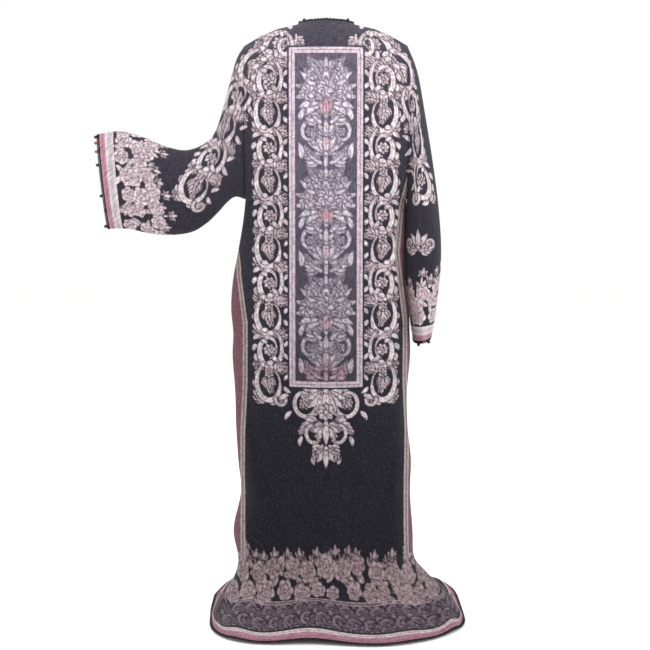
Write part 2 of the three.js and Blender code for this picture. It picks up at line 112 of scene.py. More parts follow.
# side, x0, z0, x1, z1, width, rise: the large folds of the CAD
drapeFolds = [
    (-1, -8, -1130, -10, -1390, 26, 5),
    (-1, -185, -960, -85, -1330, 34, -9),
    (-1, 190, -1040, 105, -1370, 32, -9),
    (-1, -195, -590, -140, -900, 32, 7),
    (-1, -190, -400, -110, -590, 32, -9),
    (-1, 190, -400, 130, -640, 32, -9),
    (-1, -140, -150, -160, -390, 30, -6),
    (-1, 140, -150, 165, -390, 30, -6),
    (-1, 60, -700, 95, -1120, 36, 6),
    (1, -170, -420, -60, -760, 34, -9),
    (1, 165, -420, 65, -800, 34, -9),
    (1, -90, -820, -125, -1340, 36, 9),
    (1, 95, -860, 120, -1340, 36, 8),
    (1, -150, -190, -120, -420, 30, -6),
    (1, 150, -190, 120, -420, 30, -6),
]
# the same kind of fold, too small for the CAD
softFolds = [
    (-1, -8, -1150, -9, -1400, 6, 1.6),
    (-1, -60, -1120, -20, -1380, 14, 2.0),
    (-1, 70, -1130, 30, -1390, 13, -2.0),
    (-1, -150, -1040, -60, -1390, 12, 2.4),
    (-1, 175, -1150, 90, -1400, 12, 2.2),
    (-1, -206, -900, -150, -1180, 12, -2.4),
    (-1, 196, -880, 170, -1200, 12, 2.4),
    (-1, -196, -430, -150, -520, 12, 3.0),
    (-1, -200, -460, -120, -470, 10, -2.4),
    (-1, 192, -430, 150, -560, 12, 3.0),
    (-1, -90, -540, -40, -760, 18, 1.6),
    (-1, 110, -420, 60, -700, 18, 1.6),
    (-1, -170, -680, -120, -800, 14, -2.2),
    (-1, -60, -40, -110, -230, 16, 1.6),
    (-1, 60, -40, 110, -230, 16, 1.6),
    (1, -60, -400, -40, -1000, 20, 2.2),
    (1, 60, -400, 45, -1050, 20, 2.2),
    (1, -190, -700, -150, -1250, 16, 2.4),
    (1, 185, -700, 150, -1250, 16, -2.4),
]
# side, u, width, height, lean of the ridges across the train
trainRidges = [
    (-1, -0.86, 0.09, 16, 0.1), (-1, -0.45, 0.08, 12, -0.12), (-1, -0.08, 0.17, 26, 0.06),
    (-1, 0.36, 0.08, 9, -0.1), (-1, 0.62, 0.08, 16, 0.1), (-1, 0.86, 0.09, 18, -0.08),
    (1, -0.7, 0.13, 14, 0.1), (1, -0.28, 0.12, 9, -0.08), (1, 0.34, 0.12, 11, 0.06), (1, 0.74, 0.13, 15, -0.1),
]


def smoothAt(table, column, share):
    # Catmull-Rom through one column, share running from 0 to 1 over the rows
    values = table[:, column]
    place = np.clip(share, 0, 1) * (len(values) - 1)
    row = np.minimum(place.astype(int), len(values) - 2)
    t = place - row
    a, b, c, d = (values[np.clip(row + k, 0, len(values) - 1)] for k in (-1, 0, 1, 2))
    slopeB = (c - a) / 2
    slopeC = (d - b) / 2
    t2 = t * t
    t3 = t2 * t
    return (2 * t3 - 3 * t2 + 1) * b + (t3 - 2 * t2 + t) * slopeB + (3 * t2 - 2 * t3) * c + (t3 - t2) * slopeC


def foldRise(folds, side, x, z):
    rise = np.zeros_like(x)
    for foldSide, x0, z0, x1, z1, width, height in folds:
        if foldSide != side:
            continue
        along = ((x - x0) * (x1 - x0) + (z - z0) * (z1 - z0)) / ((x1 - x0) ** 2 + (z1 - z0) ** 2)
        t = np.clip(along, 0, 1)
        away = np.hypot(x - lerp(x0, x1, t), z - lerp(z0, z1, t))
        rise += height * np.exp(-(away / width) ** 2)
    return rise


def ridgeHeight(side, u, share):
    height = np.zeros_like(u)
    for ridgeSide, place, width, rise, lean in trainRidges:
        if ridgeSide == side:
            height += rise * np.exp(-((u - place - lean * (1 - share)) / width) ** 2)
    return height


def crumple(x, z, wave, seed):
    # smooth small unevenness, between -1 and 1
    local = np.random.default_rng(seed)
    total = np.zeros_like(x)
    for _ in range(7):
        turn = local.uniform(0, math.pi)
        length = wave * local.uniform(0.6, 1.7)
        phase = local.uniform(0, 2 * math.pi)
        bend = 0.8 * np.sin(x / (2.3 * wave) + phase) + 0.8 * np.sin(z / (2.9 * wave) + 2 * phase)
        total += np.sin(2 * math.pi * (x * math.cos(turn) + z * math.sin(turn)) / length + phase + bend)
    return total / 7


def yokeSurface(side, x, z):
    ridge = np.interp(np.abs(x), shoulderLine[:, 0], shoulderLine[:, 1])
    drop = np.clip((ridge - z) / body["shoulderRoll"], 0, 1)
    roll = np.sqrt(1 - (1 - drop) ** 2)
    middle = roll * np.interp(z, yokeDepths[:, 0], yokeDepths[:, 1 if side < 0 else 2])
    half = (body["underarmDrop"] - body["shoulderTipDrop"]) / 2
    level = np.clip((z + body["shoulderTipDrop"] + half) / half, -1, 1)
    edge = body["armholeHalfDepth"] * np.sqrt(1 - level ** 2)
    sine = np.minimum(np.abs(x) / body["shoulderHalf"], 1)
    share = (1 - sine ** 2) ** (sections[0, 7] / 2)
    inward = 1 - sine ** 6
    small = foldRise(softFolds, side, x, z) + 0.9 * crumple(x, z, 70, 3 + side)
    small = small * inward * smoothStep(0, 60, ridge - z)
    depth = lerp(edge, middle, share) + foldRise(drapeFolds, side, x, z) * inward + small
    return np.maximum(depth, body["seam"])


def topHeight(side, x):
    across = np.minimum(np.abs(x) / body["neckHalf"], 1)
    shoulder = np.interp(np.abs(x), shoulderLine[:, 0], shoulderLine[:, 1])
    if side < 0:
        neck = body["neckPointDrop"] * (np.sqrt(1 - across ** 2) - 1)
    else:
        neck = -body["neckPointDrop"] - body["frontNeckDrop"] * (1 - across) ** body["frontNeckCurve"]
    return np.where(across >= 1, shoulder, neck)


def bodySurface(side, u, v):
    # u across from -1 to 1 and v down from 0 to 1, as arrays of one shape
    angle = halfPi * u
    sine = np.sin(angle)
    cosine = np.maximum(np.cos(angle), 0)
    x = body["shoulderHalf"] * sine
    even = np.clip(v / body["yokeShare"], 0, 1)
    down = lerp(even, 1 - np.cos(halfPi * even), body["rowBunching"])
    zYoke = lerp(topHeight(side, x), -body["underarmDrop"], down)
    yoke = np.stack([x, side * yokeSurface(side, x, zYoke), zYoke], -1)

    share = np.clip((v - body["yokeShare"]) / (1 - body["yokeShare"]), 0, 1)
    at = {name: smoothAt(sections, k, share) for k, name in enumerate(sectionColumns)}
    inward = 1 - np.abs(u) ** 6
    spread = at["bulge"] * np.sin(2 * np.abs(angle)) ** 2 if side < 0 else 0
    waviness = body["hemWave"] * np.sin(body["hemWaves"] * u + side) * inward * share ** 16
    width = np.where(u < 0, at["left"], at["right"]) * (1 + spread + waviness)
    flute = at["flute"] * inward * np.sin(2 * math.pi * body["fluteTurns"] * u + 0.8 + 1.4 * share)
    height = lerp(at["edgeZ"], at["backZ"] if side < 0 else at["frontZ"], cosine)
    rise = foldRise(drapeFolds, side, width * sine, height) * inward
    onFloor = smoothStep(0.74, 0.86, share)
    small = 1.4 * foldRise(softFolds, side, width * sine, height) + 2.0 * crumple(x, height, 85, 3 + side)
    small = small * inward * (1 - onFloor)
    reach = (at["backDepth"] if side < 0 else at["frontDepth"]) * (1 + 2 * waviness)
    roundness = at["round"] if side < 0 else np.maximum(at["round"], body["frontHemRound"])
    depth = reach * cosine ** roundness + flute + rise + small
    depth = np.maximum(depth, body["seam"])
    ripple = at["ripple"] * ridgeHeight(side, u, share) * inward
    wrinkle = (1.6 + 1.6 * crumple(x, depth, 60, 9)) * onFloor * inward * (1 - smoothStep(0.93, 1, share))
    z = np.maximum(height + ripple + wrinkle, body["hemLow"])
    skirt = np.stack([width * sine, side * depth, z], -1)
    return np.where((v <= body["yokeShare"])[..., None], yoke, skirt)


# outX, outZ, inX, inZ, midY, halfDepth, fold of each ring from armhole to cuff
leftRings = np.array([
    [203, -57.5, 203, -440.5, 0, 64, 0],
    [224, -93, 228, -434, 0, 70, 2],
    [248, -176, 249, -448, 2, 70, 5],
    [277, -268, 273, -474, 5, 62, 8],
    [311, -303, 303, -502, 8, 58, 9],
    [356, -317, 342, -524, 10, 59, 7],
    [408, -306, 398, -531, 12, 57, 4],
    [459, -285, 451, -526, 14, 51, 3],
    [510, -270, 497, -516, 15, 45, 2],
    [551, -272, 530, -515, 16, 39, 2],
    [572, -277, 548, -515, 16, 35, 1],
], dtype=float)
rightRings = np.array([
    [203, -57.5, 203, -440.5, 0, 64, 0],
    [229, -124, 205, -443, 2, 70, 1],
    [250, -234, 202.5, -462, 8, 76, 3],
    [268, -337, 200.5, -490, 16, 80, 4],
    [283, -440, 199, -525, 22, 84, 4],
    [292, -540, 197.3, -578, 26, 88, 4],
    [292, -618, 199.3, -638, 29, 92, 5],
    [285, -686, 207.5, -697, 31, 96, 4],
    [277, -752, 216, -758, 33, 99, 3],
    [269, -786, 223, -798, 34, 100, 1],
], dtype=float)
sleeveGap = 0.3
# x0, z0, x1, z1, width, rise of the small folds on both faces of each sleeve
sleeveFolds = {
    -1: [(-1, -215, -300, -300, -420, 13, -5), (-1, -225, -210, -290, -350, 11, 4),
         (-1, -250, -400, -340, -470, 12, 4), (-1, -320, -330, -400, -480, 14, -3.5),
         (-1, -300, -320, -340, -500, 10, 3), (-1, -420, -320, -500, -440, 18, 2.5),
         (-1, -440, -500, -530, -440, 16, -2.5), (-1, -215, -120, -240, -260, 12, -3),
         (-1, -520, -290, -540, -480, 14, 2)],
    1: [(-1, 215, -160, 240, -380, 12, 4), (-1, 262, -260, 235, -500, 12, -4),
        (-1, 222, -480, 262, -640, 12, 4), (-1, 280, -500, 240, -700, 12, -3.5),
        (-1, 235, -640, 262, -770, 12, 3)],
}


def sleeveSurface(rings, side, turn, v):
    # turn runs round the ring from its lower or inner point, v from armhole to cuff
    at = [smoothAt(rings, k, v) for k in range(7)]
    angle = 2 * math.pi * turn
    out = (1 - np.cos(angle)) / 2
    x = side * (lerp(at[2], at[0], out) + sleeveGap)
    z = lerp(at[3], at[1], out)
    crease = at[6] * np.sin(3 * angle + 9 * v) * np.abs(np.sin(angle))
    depth = at[5] * np.sin(angle) + crease
    small = foldRise(sleeveFolds[side], -1, x, z) + 1.1 * crumple(x, z + 2 * at[5] * np.sin(angle), 60, 21 + side)
    opening = smoothStep(0, 0.1, v) * (1 - 0.7 * smoothStep(0.85, 1, v))
    depth = depth + np.sin(angle) * small * opening
    return np.stack([x, at[4] + depth, z], -1)


def spreadBy(positions, lengths, spacing):
    # places on the scale `positions` that leave the wanted spacing along the measured lengths
    tally = np.concatenate([[0], np.cumsum(np.diff(lengths) / ((spacing[1:] + spacing[:-1]) / 2))])
    count = int(round(tally[-1]))
    return np.interp(np.linspace(0, tally[-1], count + 1), tally, positions)


def arcLengths(points):
    return np.concatenate([[0], np.cumsum(np.linalg.norm(np.diff(points, axis=0), axis=1))])


def gridNormals(grid, wrap, flip):
    down = np.gradient(grid, axis=0)
    if wrap:
        across = np.roll(grid, -1, axis=1) - np.roll(grid, 1, axis=1)
    else:
        across = np.gradient(grid, axis=1)
    normal = np.cross(down, across)
    normal /= np.maximum(np.linalg.norm(normal, axis=2, keepdims=True), 1e-9)
    return -normal if flip else normal


hemTurn = {"thickness": 1.2, "rows": 3}


def turnIn(layers, grid, normal, edge):
    # the raw edge folded to the inside, as two more rows or columns
    axis = 0 if edge in ("top", "bottom") else 1
    last = edge in ("bottom", "end")
    count = grid.shape[axis]
    rim = count - 1 if last else 0
    inner = count - 1 - hemTurn["rows"] if last else hemTurn["rows"]
    take = lambda a, k: np.take(a, [k], axis=axis)
    extra = [take(grid, k) - take(normal, k) * hemTurn["thickness"] for k in (rim, inner)]
    join = (lambda a, more: np.concatenate([a, *more], axis)) if last else \
        (lambda a, more: np.concatenate([*more[::-1], a], axis))
    grid = join(grid, extra)
    normal = join(normal, [take(normal, rim), take(normal, inner)])
    layers = {name: join(value, [take(value, rim), take(value, inner)]) for name, value in layers.items()}
    return layers, grid, normal


def sheetMesh(name, grid, layers, wrap=False, flip=False, turned=("top", "bottom")):
    # layers are values for each point of the grid; clothA and clothB are its place in the flat cloth
    normal = gridNormals(grid, wrap, flip)
    for edge in turned:
        layers, grid, normal = turnIn(layers, grid, normal, edge)
    rows, columns = grid.shape[:2]
    index = np.arange(rows * columns).reshape(rows, columns)
    right = np.roll(index, -1, axis=1) if wrap else index[:, 1:]
    left = index if wrap else index[:, :-1]
    quads = np.stack([left[:-1], left[1:], right[1:], right[:-1]], -1).reshape(-1, 4)
    if flip:
        quads = quads[:, ::-1]
    mesh = bpy.data.meshes.new(name)
    mesh.from_pydata((grid.reshape(-1, 3) * millimetre).tolist(), [], quads.tolist())
    mesh.polygons.foreach_set("use_smooth", np.ones(len(quads), bool))
    flat = np.stack([layers["clothA"].ravel(), layers["clothB"].ravel()], -1) * millimetre
    uv = mesh.uv_layers.new(name="cloth")
    corner = np.empty(len(mesh.loops), dtype=np.int32)
    mesh.loops.foreach_get("vertex_index", corner)
    uv.data.foreach_set("uv", flat[corner].ravel())
    for layer, value in layers.items():
        if layer in ("clothA", "clothB"):
            continue
        attribute = mesh.attributes.new(layer, "FLOAT", "POINT")
        attribute.data.foreach_set("value", np.ascontiguousarray(value.ravel(), dtype=np.float32))
    mesh.update()
    sheet = bpy.data.objects.new(name, mesh)
    bpy.context.scene.collection.objects.link(sheet)
    return sheet


def flatPlaces(grid, centre=0):
    # distance across from the centre column and down from the top, along the cloth
    across = np.linalg.norm(np.diff(grid, axis=1), axis=2)
    across = np.concatenate([np.zeros((len(grid), 1)), np.cumsum(across, axis=1)], axis=1)
    across = across - across[:, centre:centre + 1]
    down = np.linalg.norm(np.diff(grid, axis=0), axis=2)
    down = np.concatenate([np.zeros((1, grid.shape[1])), np.cumsum(down, axis=0)], axis=0)
    return across, down


def blankPrint(x, z):
    # the print is drawn as signed distances in millimetres, positive inside a shape
    count = x.size
    return {
        "shape": x.shape,
        "x": x.ravel().astype(float),
        "z": z.ravel().astype(float),
        "ornament": np.full(count, -30.0),
        "veins": np.full(count, 20.0),
        "blush": np.zeros(count),
    }


def pickBox(art, low, high):
    inside = (art["x"] > low[0]) & (art["x"] < high[0]) & (art["z"] > low[1]) & (art["z"] < high[1])
    return np.flatnonzero(inside)


def stroke(art, points, radii, gap=2.2, vein=False):
    # a line of changing width, laid over what is there with a gap round it
    p = np.asarray(points, dtype=float)
    r = np.broadcast_to(np.asarray(radii, dtype=float), len(p))
    margin = r.max() + 9
    pick = pickBox(art, p.min(0) - margin, p.max(0) + margin)
    if not len(pick):
        return
    q = np.stack([art["x"][pick], art["z"][pick]], -1)[:, None]
    a = p[:-1][None]
    ab = (p[1:] - p[:-1])[None]
    t = np.clip(((q - a) * ab).sum(2) / np.maximum((ab ** 2).sum(2), 1e-9), 0, 1)
    away = np.linalg.norm(q - a - t[..., None] * ab, axis=2)
    value = (r[:-1] + t * (r[1:] - r[:-1]) - away).max(1)
    old = art["ornament"][pick]
    art["ornament"][pick] = np.maximum(value, np.minimum(old, -value - gap))
    covered = value > -0.5
    art["veins"][pick[covered]] = away.min(1)[covered] if vein else 20.0


def disc(art, x, z, radius, gap=2.2):
    stroke(art, [(x, z), (x + 0.01, z)], radius, gap)


def leaf(art, x, z, direction, length, width, bend=0.0, vein=True):
    t = np.linspace(0, 1, 9)
    turn = direction + bend * t
    step = length / (len(t) - 1)
    points = np.cumsum(np.stack([np.cos(turn), np.sin(turn)], -1) * step, axis=0) + (x, z)
    radii = width / 2 * np.sin(math.pi * (0.06 + 0.9 * t) ** 0.8) + 0.5
    stroke(art, points, radii, vein=vein)
    return points[-1]


def frond(art, x, z, direction, length, width, bend, lobes):
    # an acanthus leaf: lobes set off both sides of a bent rib
    t = np.linspace(0, 1, 12)
    turn = direction + bend * t
    ribs = np.cumsum(np.stack([np.cos(turn), np.sin(turn)], -1) * length / 11, axis=0) + (x, z)
    for k in range(lobes):
        at = int(1 + 9 * k / lobes)
        size = width * (1 - 0.55 * k / lobes)
        for hand in (-1, 1):
            leaf(art, *ribs[at], turn[at] + hand * (1.05 - 0.12 * k), size, size * 0.42, -hand * 0.7, vein=False)
    stroke(art, ribs, np.linspace(width * 0.16, 1.0, 12), vein=True)


def curl(art, x, z, radius, start, hand, turns, thick, thin):
    # a tendril that winds inwards and thins
    t = np.linspace(0, 1, 44)
    angle = start + hand * 2 * math.pi * turns * t
    reach = radius * (1 - 0.74 * t)
    points = np.stack([x + reach * np.cos(angle), z + reach * np.sin(angle)], -1)
    stroke(art, points, lerp(thick, thin, t), vein=True)


def rosette(art, x, z, radius, petals, turn=0.0):
    for k in range(petals):
        angle = turn + 2 * math.pi * k / petals
        leaf(art, x + 0.2 * radius * math.cos(angle), z + 0.2 * radius * math.sin(angle), angle,
             radius * 0.82, radius * 0.62)
    disc(art, x, z, radius * 0.24)


def addBlush(art, x, z, radius, amount):
    # a soft patch of pink
    pick = pickBox(art, (x - 3 * radius, z - 3 * radius), (x + 3 * radius, z + 3 * radius))
    away = np.hypot(art["x"][pick] - x, art["z"][pick] - z) / radius
    art["blush"][pick] = np.maximum(art["blush"][pick], amount * np.exp(-away ** 2))


def palmette(art, x, z, direction, size, lobes, spread, fat):
    # a fan of leaves, the outer ones behind
    order = sorted(range(lobes), key=lambda k: -abs(k - (lobes - 1) / 2))
    for k in order:
        share = (k - (lobes - 1) / 2) / ((lobes - 1) / 2)
        length = size * (1 - 0.42 * abs(share) ** 1.4)
        leaf(art, x, z, direction + share * spread / 2, length, size * fat * (1 - 0.25 * abs(share)), share * 0.75)
    disc(art, x, z, size * 0.11)


def rose(art, x, z, radius, turn):
    # two rings of round petals about a small heart
    for petals, away, size in ((6, 0.6, 0.42), (4, 0.27, 0.33)):
        for k in range(petals):
            angle = turn + 2 * math.pi * (k + away) / petals
            disc(art, x + away * radius * math.cos(angle), z + away * radius * math.sin(angle), size * radius, 1.0)
    disc(art, x, z, radius * 0.17, 1.0)
    addBlush(art, x, z, radius * 0.7, 0.15)


def ovalStroke(art, x, z, heading, along, across, start, sweep, thick, shrink):
    # a scroll: part of an oval closing inwards, thick in its middle, `along` its half length on the heading
    t = np.linspace(0, 1, 44)
    angle = start + sweep * t
    reach = 1 - shrink * t
    a, b = along * reach * np.cos(angle), across * reach * np.sin(angle)
    points = np.stack([x + a * math.cos(heading) - b * math.sin(heading),
                       z + a * math.sin(heading) + b * math.cos(heading)], -1)
    stroke(art, points, lerp(2.0, thick, np.sin(math.pi * np.minimum(1.3 * t, 1)) ** 0.7), vein=True)


def scrollBand(art, path, half, pitch, mirror):
    # oval scrolls in a row, by turns round a flower and round a spray, with leaves outside and curls inside
    path = np.asarray(path, dtype=float)
    share = np.linspace(0, 1, 160)
    smooth = np.stack([smoothAt(path, k, share) for k in (0, 1)], -1)
    along = arcLengths(smooth)
    count = max(1, int(round(along[-1] / pitch)))
    step = along[-1] / count
    for k in range(count):
        hub, ahead = (np.array([np.interp(at, along, smooth[:, c]) for c in (0, 1)])
                      for at in ((k + 0.5) * step, (k + 0.5) * step + 4))
        forward = (ahead - hub) / np.linalg.norm(ahead - hub)
        out = np.array([-forward[1], forward[0]]) * mirror
        heading = math.atan2(forward[1], forward[0])
        put = lambda a, b: hub + forward * a * step + out * b * half
        turn = lambda angle: heading + mirror * angle
        long, wide = 0.6 * step, 0.74 * half
        middle = put(0, 0.08)
        frond(art, *put(0.5, 0.3), turn(1.5), 0.66 * half, 0.4 * half, mirror * 0.8, 4)
        for angle, length in ((-0.5, 0.34), (0.3, 0.4), (0.85, 0.4), (1.35, 0.38), (1.85, 0.38), (2.4, 0.42),
                              (3.0, 0.3)):
            tip = middle + forward * long * 0.96 * math.cos(angle) + out * wide * 0.96 * math.sin(angle)
            leaf(art, *tip, turn(angle + (0.9 if k % 2 else -0.9)), length * half, 0.22 * half,
                 mirror * (0.9 if k % 2 else -0.9))
        frond(art, *put(0.34, -0.2), turn(-0.9), 0.66 * half, 0.42 * half, mirror * -1.1, 4)
        frond(art, *put(-0.36, -0.3), turn(-2.1), 0.6 * half, 0.4 * half, mirror * 1.1, 4)
        if k % 2:
            ovalStroke(art, *middle, heading, long, wide * mirror, 2.5, -5.4, 0.15 * half, 0.3)
            frond(art, *put(-0.3, 0.1), turn(0.1), 1.0 * half, 0.52 * half, mirror * -0.5, 5)
            rosette(art, *put(-0.3, 0.1), 0.22 * half, 6, heading)
        else:
            ovalStroke(art, *middle, heading, long, wide * mirror, -2.7, 8.8, 0.135 * half, 0.58)
            rosette(art, *put(0.0, 0.08), 0.28 * half, 7, heading)
            leaf(art, *put(0.16, -0.1), turn(-0.4), 0.4 * half, 0.2 * half, mirror * -0.8)
            leaf(art, *put(-0.2, 0.2), turn(2.4), 0.34 * half, 0.18 * half, mirror * -0.8)
        curl(art, *put(0.5, -0.58), 0.34 * half, turn(1.8), -mirror, 1.25, 0.085 * half, 0.045 * half)
        leaf(art, *put(0.08, -0.72), turn(-0.3), 0.46 * half, 0.19 * half, mirror * -1.0)
        leaf(art, *put(-0.08, -0.74), turn(3.4), 0.42 * half, 0.18 * half, mirror * 1.0)


def plume(art, x, z, size, lobes, spread):
    # a full flower head standing up: rings of leaves, the outer ones behind
    for ring in range(3):
        palmette(art, x, z + 0.07 * size * ring, halfPi, size * (1 - 0.28 * ring), lobes - 2 * ring,
                 spread * (1 - 0.08 * ring), 0.25 + 0.05 * ring)


def roseBorder(art, along, level, depth, seed, pitch, size, sprigs, sway, wave):
    # roses and leaves in a band: `along` is its run, `level` its middle and `depth` its height, and its top
    # swings by sway
    local = np.random.default_rng(seed)
    count = int((along[1] - along[0]) / pitch)
    rise = lambda x: sway * math.cos(2 * math.pi * x / wave)
    for k in range(int(1.4 * count) + 1):
        x = along[0] + pitch / 1.4 * (k + local.uniform(-0.3, 0.3))
        foot = level + 0.3 * depth + rise(x)
        tip = level + 0.5 * depth + rise(x) + sprigs * local.uniform(0.1, 1)
        lean = local.uniform(-12, 12)
        stroke(art, [(x, foot), (x + 0.7 * lean, lerp(foot, tip, 0.5)), (x + lean, tip)], [2.4, 2.2, 1.8])
        for hand in (-1, 1):
            leaf(art, x + 0.6 * lean, lerp(foot, tip, 0.35), halfPi - hand * 1.0, 17, 8.5, hand * 0.7)
        palmette(art, x + lean, tip - 4, halfPi - 0.02 * lean, 18, 5, 2.2, 0.42)
    for _ in range(round(depth / 18) * count):
        angle = local.uniform(0, 2 * math.pi)
        leaf(art, local.uniform(*along), level + depth * local.uniform(-0.5, 0.42), angle, local.uniform(22, 34),
             local.uniform(9, 13), local.uniform(-0.9, 0.9))
    for row, share in enumerate((0.34, -0.34, 0) if depth > 80 else (0.28, -0.28)):
        for k in range(count + 1):
            x = along[0] + pitch * (k + 0.5 * (row > 0) + local.uniform(-0.2, 0.2))
            lift = depth * (share + local.uniform(-0.09, 0.09)) + (0.45 if row else 1) * rise(x)
            rose(art, x, level + lift, size * local.uniform(0.86, 1.14), local.uniform(0, 6))


def addLine(art, coordinate, at, half):
    art["ornament"] = np.maximum(art["ornament"], half - np.abs(coordinate.ravel() - at))


# layout of the print on the worn garment, in millimetres
layout = {
    "panelHalf": 92,
    "panelTop": -67,
    "panelFoot": -905,
    "frame": 17,
    "bandCentre": 137,
    "bandHalf": 46,
    "bandTop": -104,
    "bandFoot": -938,
    "scrollPitch": 83,
    "finialLift": 20,
    "shoulderHalf": 50,
    "shoulderPitch": 86,
    "leftShoulder": [(-84, -30), (-130, -75), (-165, -112), (-203, -162), (-232, -218), (-262, -288),
                     (-296, -364), (-342, -446)],
    "rightShoulder": [(84, -30), (130, -75), (165, -112), (203, -165), (230, -230), (245, -300),
                      (252, -370), (254, -436)],
    "leftStripe": [(-440, 216), (-625, 213), (-749, 196), (-898, 197), (-1022, 204), (-1146, 206), (-1270, 204),
                   (-1440, 204)],
    "rightStripe": [(-300, 194), (-420, 186), (-575, 172), (-749, 193), (-898, 193), (-1022, 200), (-1146, 197),
                    (-1270, 197), (-1440, 200)],
    "stripe": 13,
    "frontPanel": 0.8,
    "stripeTop": {-1: -455, 1: -305},
    "stripeFoot": -1345,
    "stripeTaper": (24, 170),  # how far the stripes run outwards, over how long a part of their top
    "frontStripeScale": 300,
    "endScrolls": ((-204, -1432, -1318), (206, -1428, -1330)),  # x, foot and top
    "rosesTop": 300,
    "rosesFoot": 207,
    "hemLines": (201, 192),
    "hemBand": (189, 38),
    "hemTrim": (35, 30.5, 26, 21.5),
    "cuffTrim": (36, 30, 20, 14.5),
    "cuffRoses": (46, 142),
    "hemRoseBorder": {"seed": 4, "pitch": 42, "size": 19, "sprigs": 14, "sway": 9, "wave": 460},
    "cuffRoseBorder": {"pitch": 40, "size": 20, "sprigs": 30, "sway": 6, "wave": 250},
    "roseStretch": 1.45,  # along the train, so that the border reads right from behind
    "bandStretch": 2.1,
    "bandPitch": 38,
    "bandRow": 19,
    "hemSwell": {-1: 1.6, 1: 2.2},
    "hemPaleness": 0.5,
    "hemPaleEnd": (60, 90),
    "sleeveBlush": 0.4,
}


def trimBy(distance, marks):
    # 0, 1, 2, 3 at the four marks, read inwards, and past 3 the mauve band
    outer, second, third, inner = marks
    slope = 1 / (outer - second)
    below = np.interp(-distance, [-outer, -second, -third, -inner], [0, 1, 2, 3])
    below = np.where(distance > outer, -(distance - outer) * slope, below)
    return np.where(distance < inner, 3 + (inner - distance) * slope, below)


def drawPanel(art):
    # full flower heads over paired scrolls, stacked up the middle of the back
    units = 3
    top = layout["panelTop"] - layout["frame"] - 4
    foot = layout["panelFoot"] + layout["frame"] + 4
    tall = (top - foot) / units
    for k in range(units):
        base = foot + tall * k
        for hand in (-1, 1):
            frond(art, hand * 8, base + 0.01 * tall, halfPi - hand * 1.25, 60, 27, hand * 0.9, 5)
            leaf(art, hand * 62, base + 0.05 * tall, halfPi + hand * 0.2, 36, 14, -hand * 0.6)
            frond(art, hand * 8, base + 0.15 * tall, halfPi - hand * 0.75, 62, 27, hand * 1.2, 5)
            ovalStroke(art, hand * 39, base + 0.3 * tall, halfPi, 33, -hand * 27, -2.6, 8.2, 4.6, 0.6)
            rosette(art, hand * 39, base + 0.3 * tall, 9, 6)
            leaf(art, hand * 64, base + 0.4 * tall, halfPi + hand * 0.1, 34, 13, hand * 0.7)
            frond(art, hand * 9, base + 0.38 * tall, halfPi - hand * 1.1, 60, 28, hand * 1.2, 5)
            frond(art, hand * 6, base + 0.5 * tall, halfPi - hand * 1.35, 58, 25, hand * 0.8, 5)
        stroke(art, [(0, base), (0, base + 0.5 * tall)], [5, 3], vein=True)
        palmette(art, 0, base + 0.1 * tall, halfPi, 46, 7, 2.6, 0.3)
        palmette(art, 0, base + 0.27 * tall, halfPi, 34, 5, 1.9, 0.36)
        for hand in (-1, 1):
            for at, size in ((0.6, 46), (0.74, 44), (0.87, 36)):
                frond(art, hand * 14, base + at * tall, halfPi - hand * 1.0, size * 1.1, size * 0.52, hand * 0.5, 5)
        plume(art, 0, base + 0.58 * tall, 92, 13, 3.6)
        for hand in (-1, 1):
            rosette(art, hand * 46, base + 0.66 * tall, 17, 8)
            rosette(art, hand * 31, base + 0.83 * tall, 14, 7)
        rosette(art, 0, base + 0.7 * tall, 19, 9, 0.2)
        palmette(art, 0, base + 0.87 * tall, halfPi, 26, 7, 2.9, 0.34)
        palmette(art, 0, base + 0.44 * tall, halfPi, 40, 5, 1.2, 0.32)
        addBlush(art, 0, base + 0.53 * tall, 15, 0.85 if k else 0.5)
        addBlush(art, 0, base + 0.2 * tall, 10, 0.5)
    for x in (-36, 0, 36):
        addBlush(art, x, foot + 16, 22, 0.6)


def drawFinial(art):
    # below the panel: a symmetric spray that narrows to a point
    lift = layout["finialLift"]
    for hand in (-1, 1):
        for x, z, angle, length in ((92, -945, 0.1, 26), (84, -985, 0.5, 26), (58, -1046, 0.9, 24),
                                    (30, -1092, 1.2, 22)):
            leaf(art, hand * x, z + lift, -halfPi + hand * (halfPi - angle), length, 10, -hand * 0.8)
        frond(art, hand * 14, lift - 920, -halfPi + hand * 1.0, 70, 30, -hand * 0.7, 5)
        ovalStroke(art, hand * 54, lift - 962, -halfPi, 42, hand * 34, -2.6, 8.4, 5.2, 0.6)
        rosette(art, hand * 54, lift - 962, 11, 7)
        frond(art, hand * 10, lift - 1010, -halfPi + hand * 1.5, 62, 26, -hand * 0.9, 5)
        ovalStroke(art, hand * 33, lift - 1036, -halfPi, 31, hand * 23, -2.6, 8.2, 4.4, 0.6)
        frond(art, hand * 6, lift - 1066, -halfPi + hand * 0.9, 44, 20, -hand * 0.9, 4)
    palmette(art, 0, lift - 930, -halfPi, 66, 9, 2.4, 0.28)
    rosette(art, 0, lift - 985, 19, 8)
    palmette(art, 0, lift - 1012, -halfPi, 48, 7, 2.2, 0.3)
    palmette(art, 0, lift - 1074, -halfPi, 44, 5, 1.5, 0.3)


def drawShoulders(art, sides=(-1, 1)):
    for side in sides:
        path = layout["leftShoulder"] if side < 0 else layout["rightShoulder"]
        scrollBand(art, path, layout["shoulderHalf"], layout["shoulderPitch"], side)
        frond(art, side * 128, -36, -halfPi + side * 1.9, 50, 26, -side * 0.7, 5)
        ovalStroke(art, side * 101, -62, -halfPi, 30, side * 20, -2.9, 7.6, 5.0, 0.55)


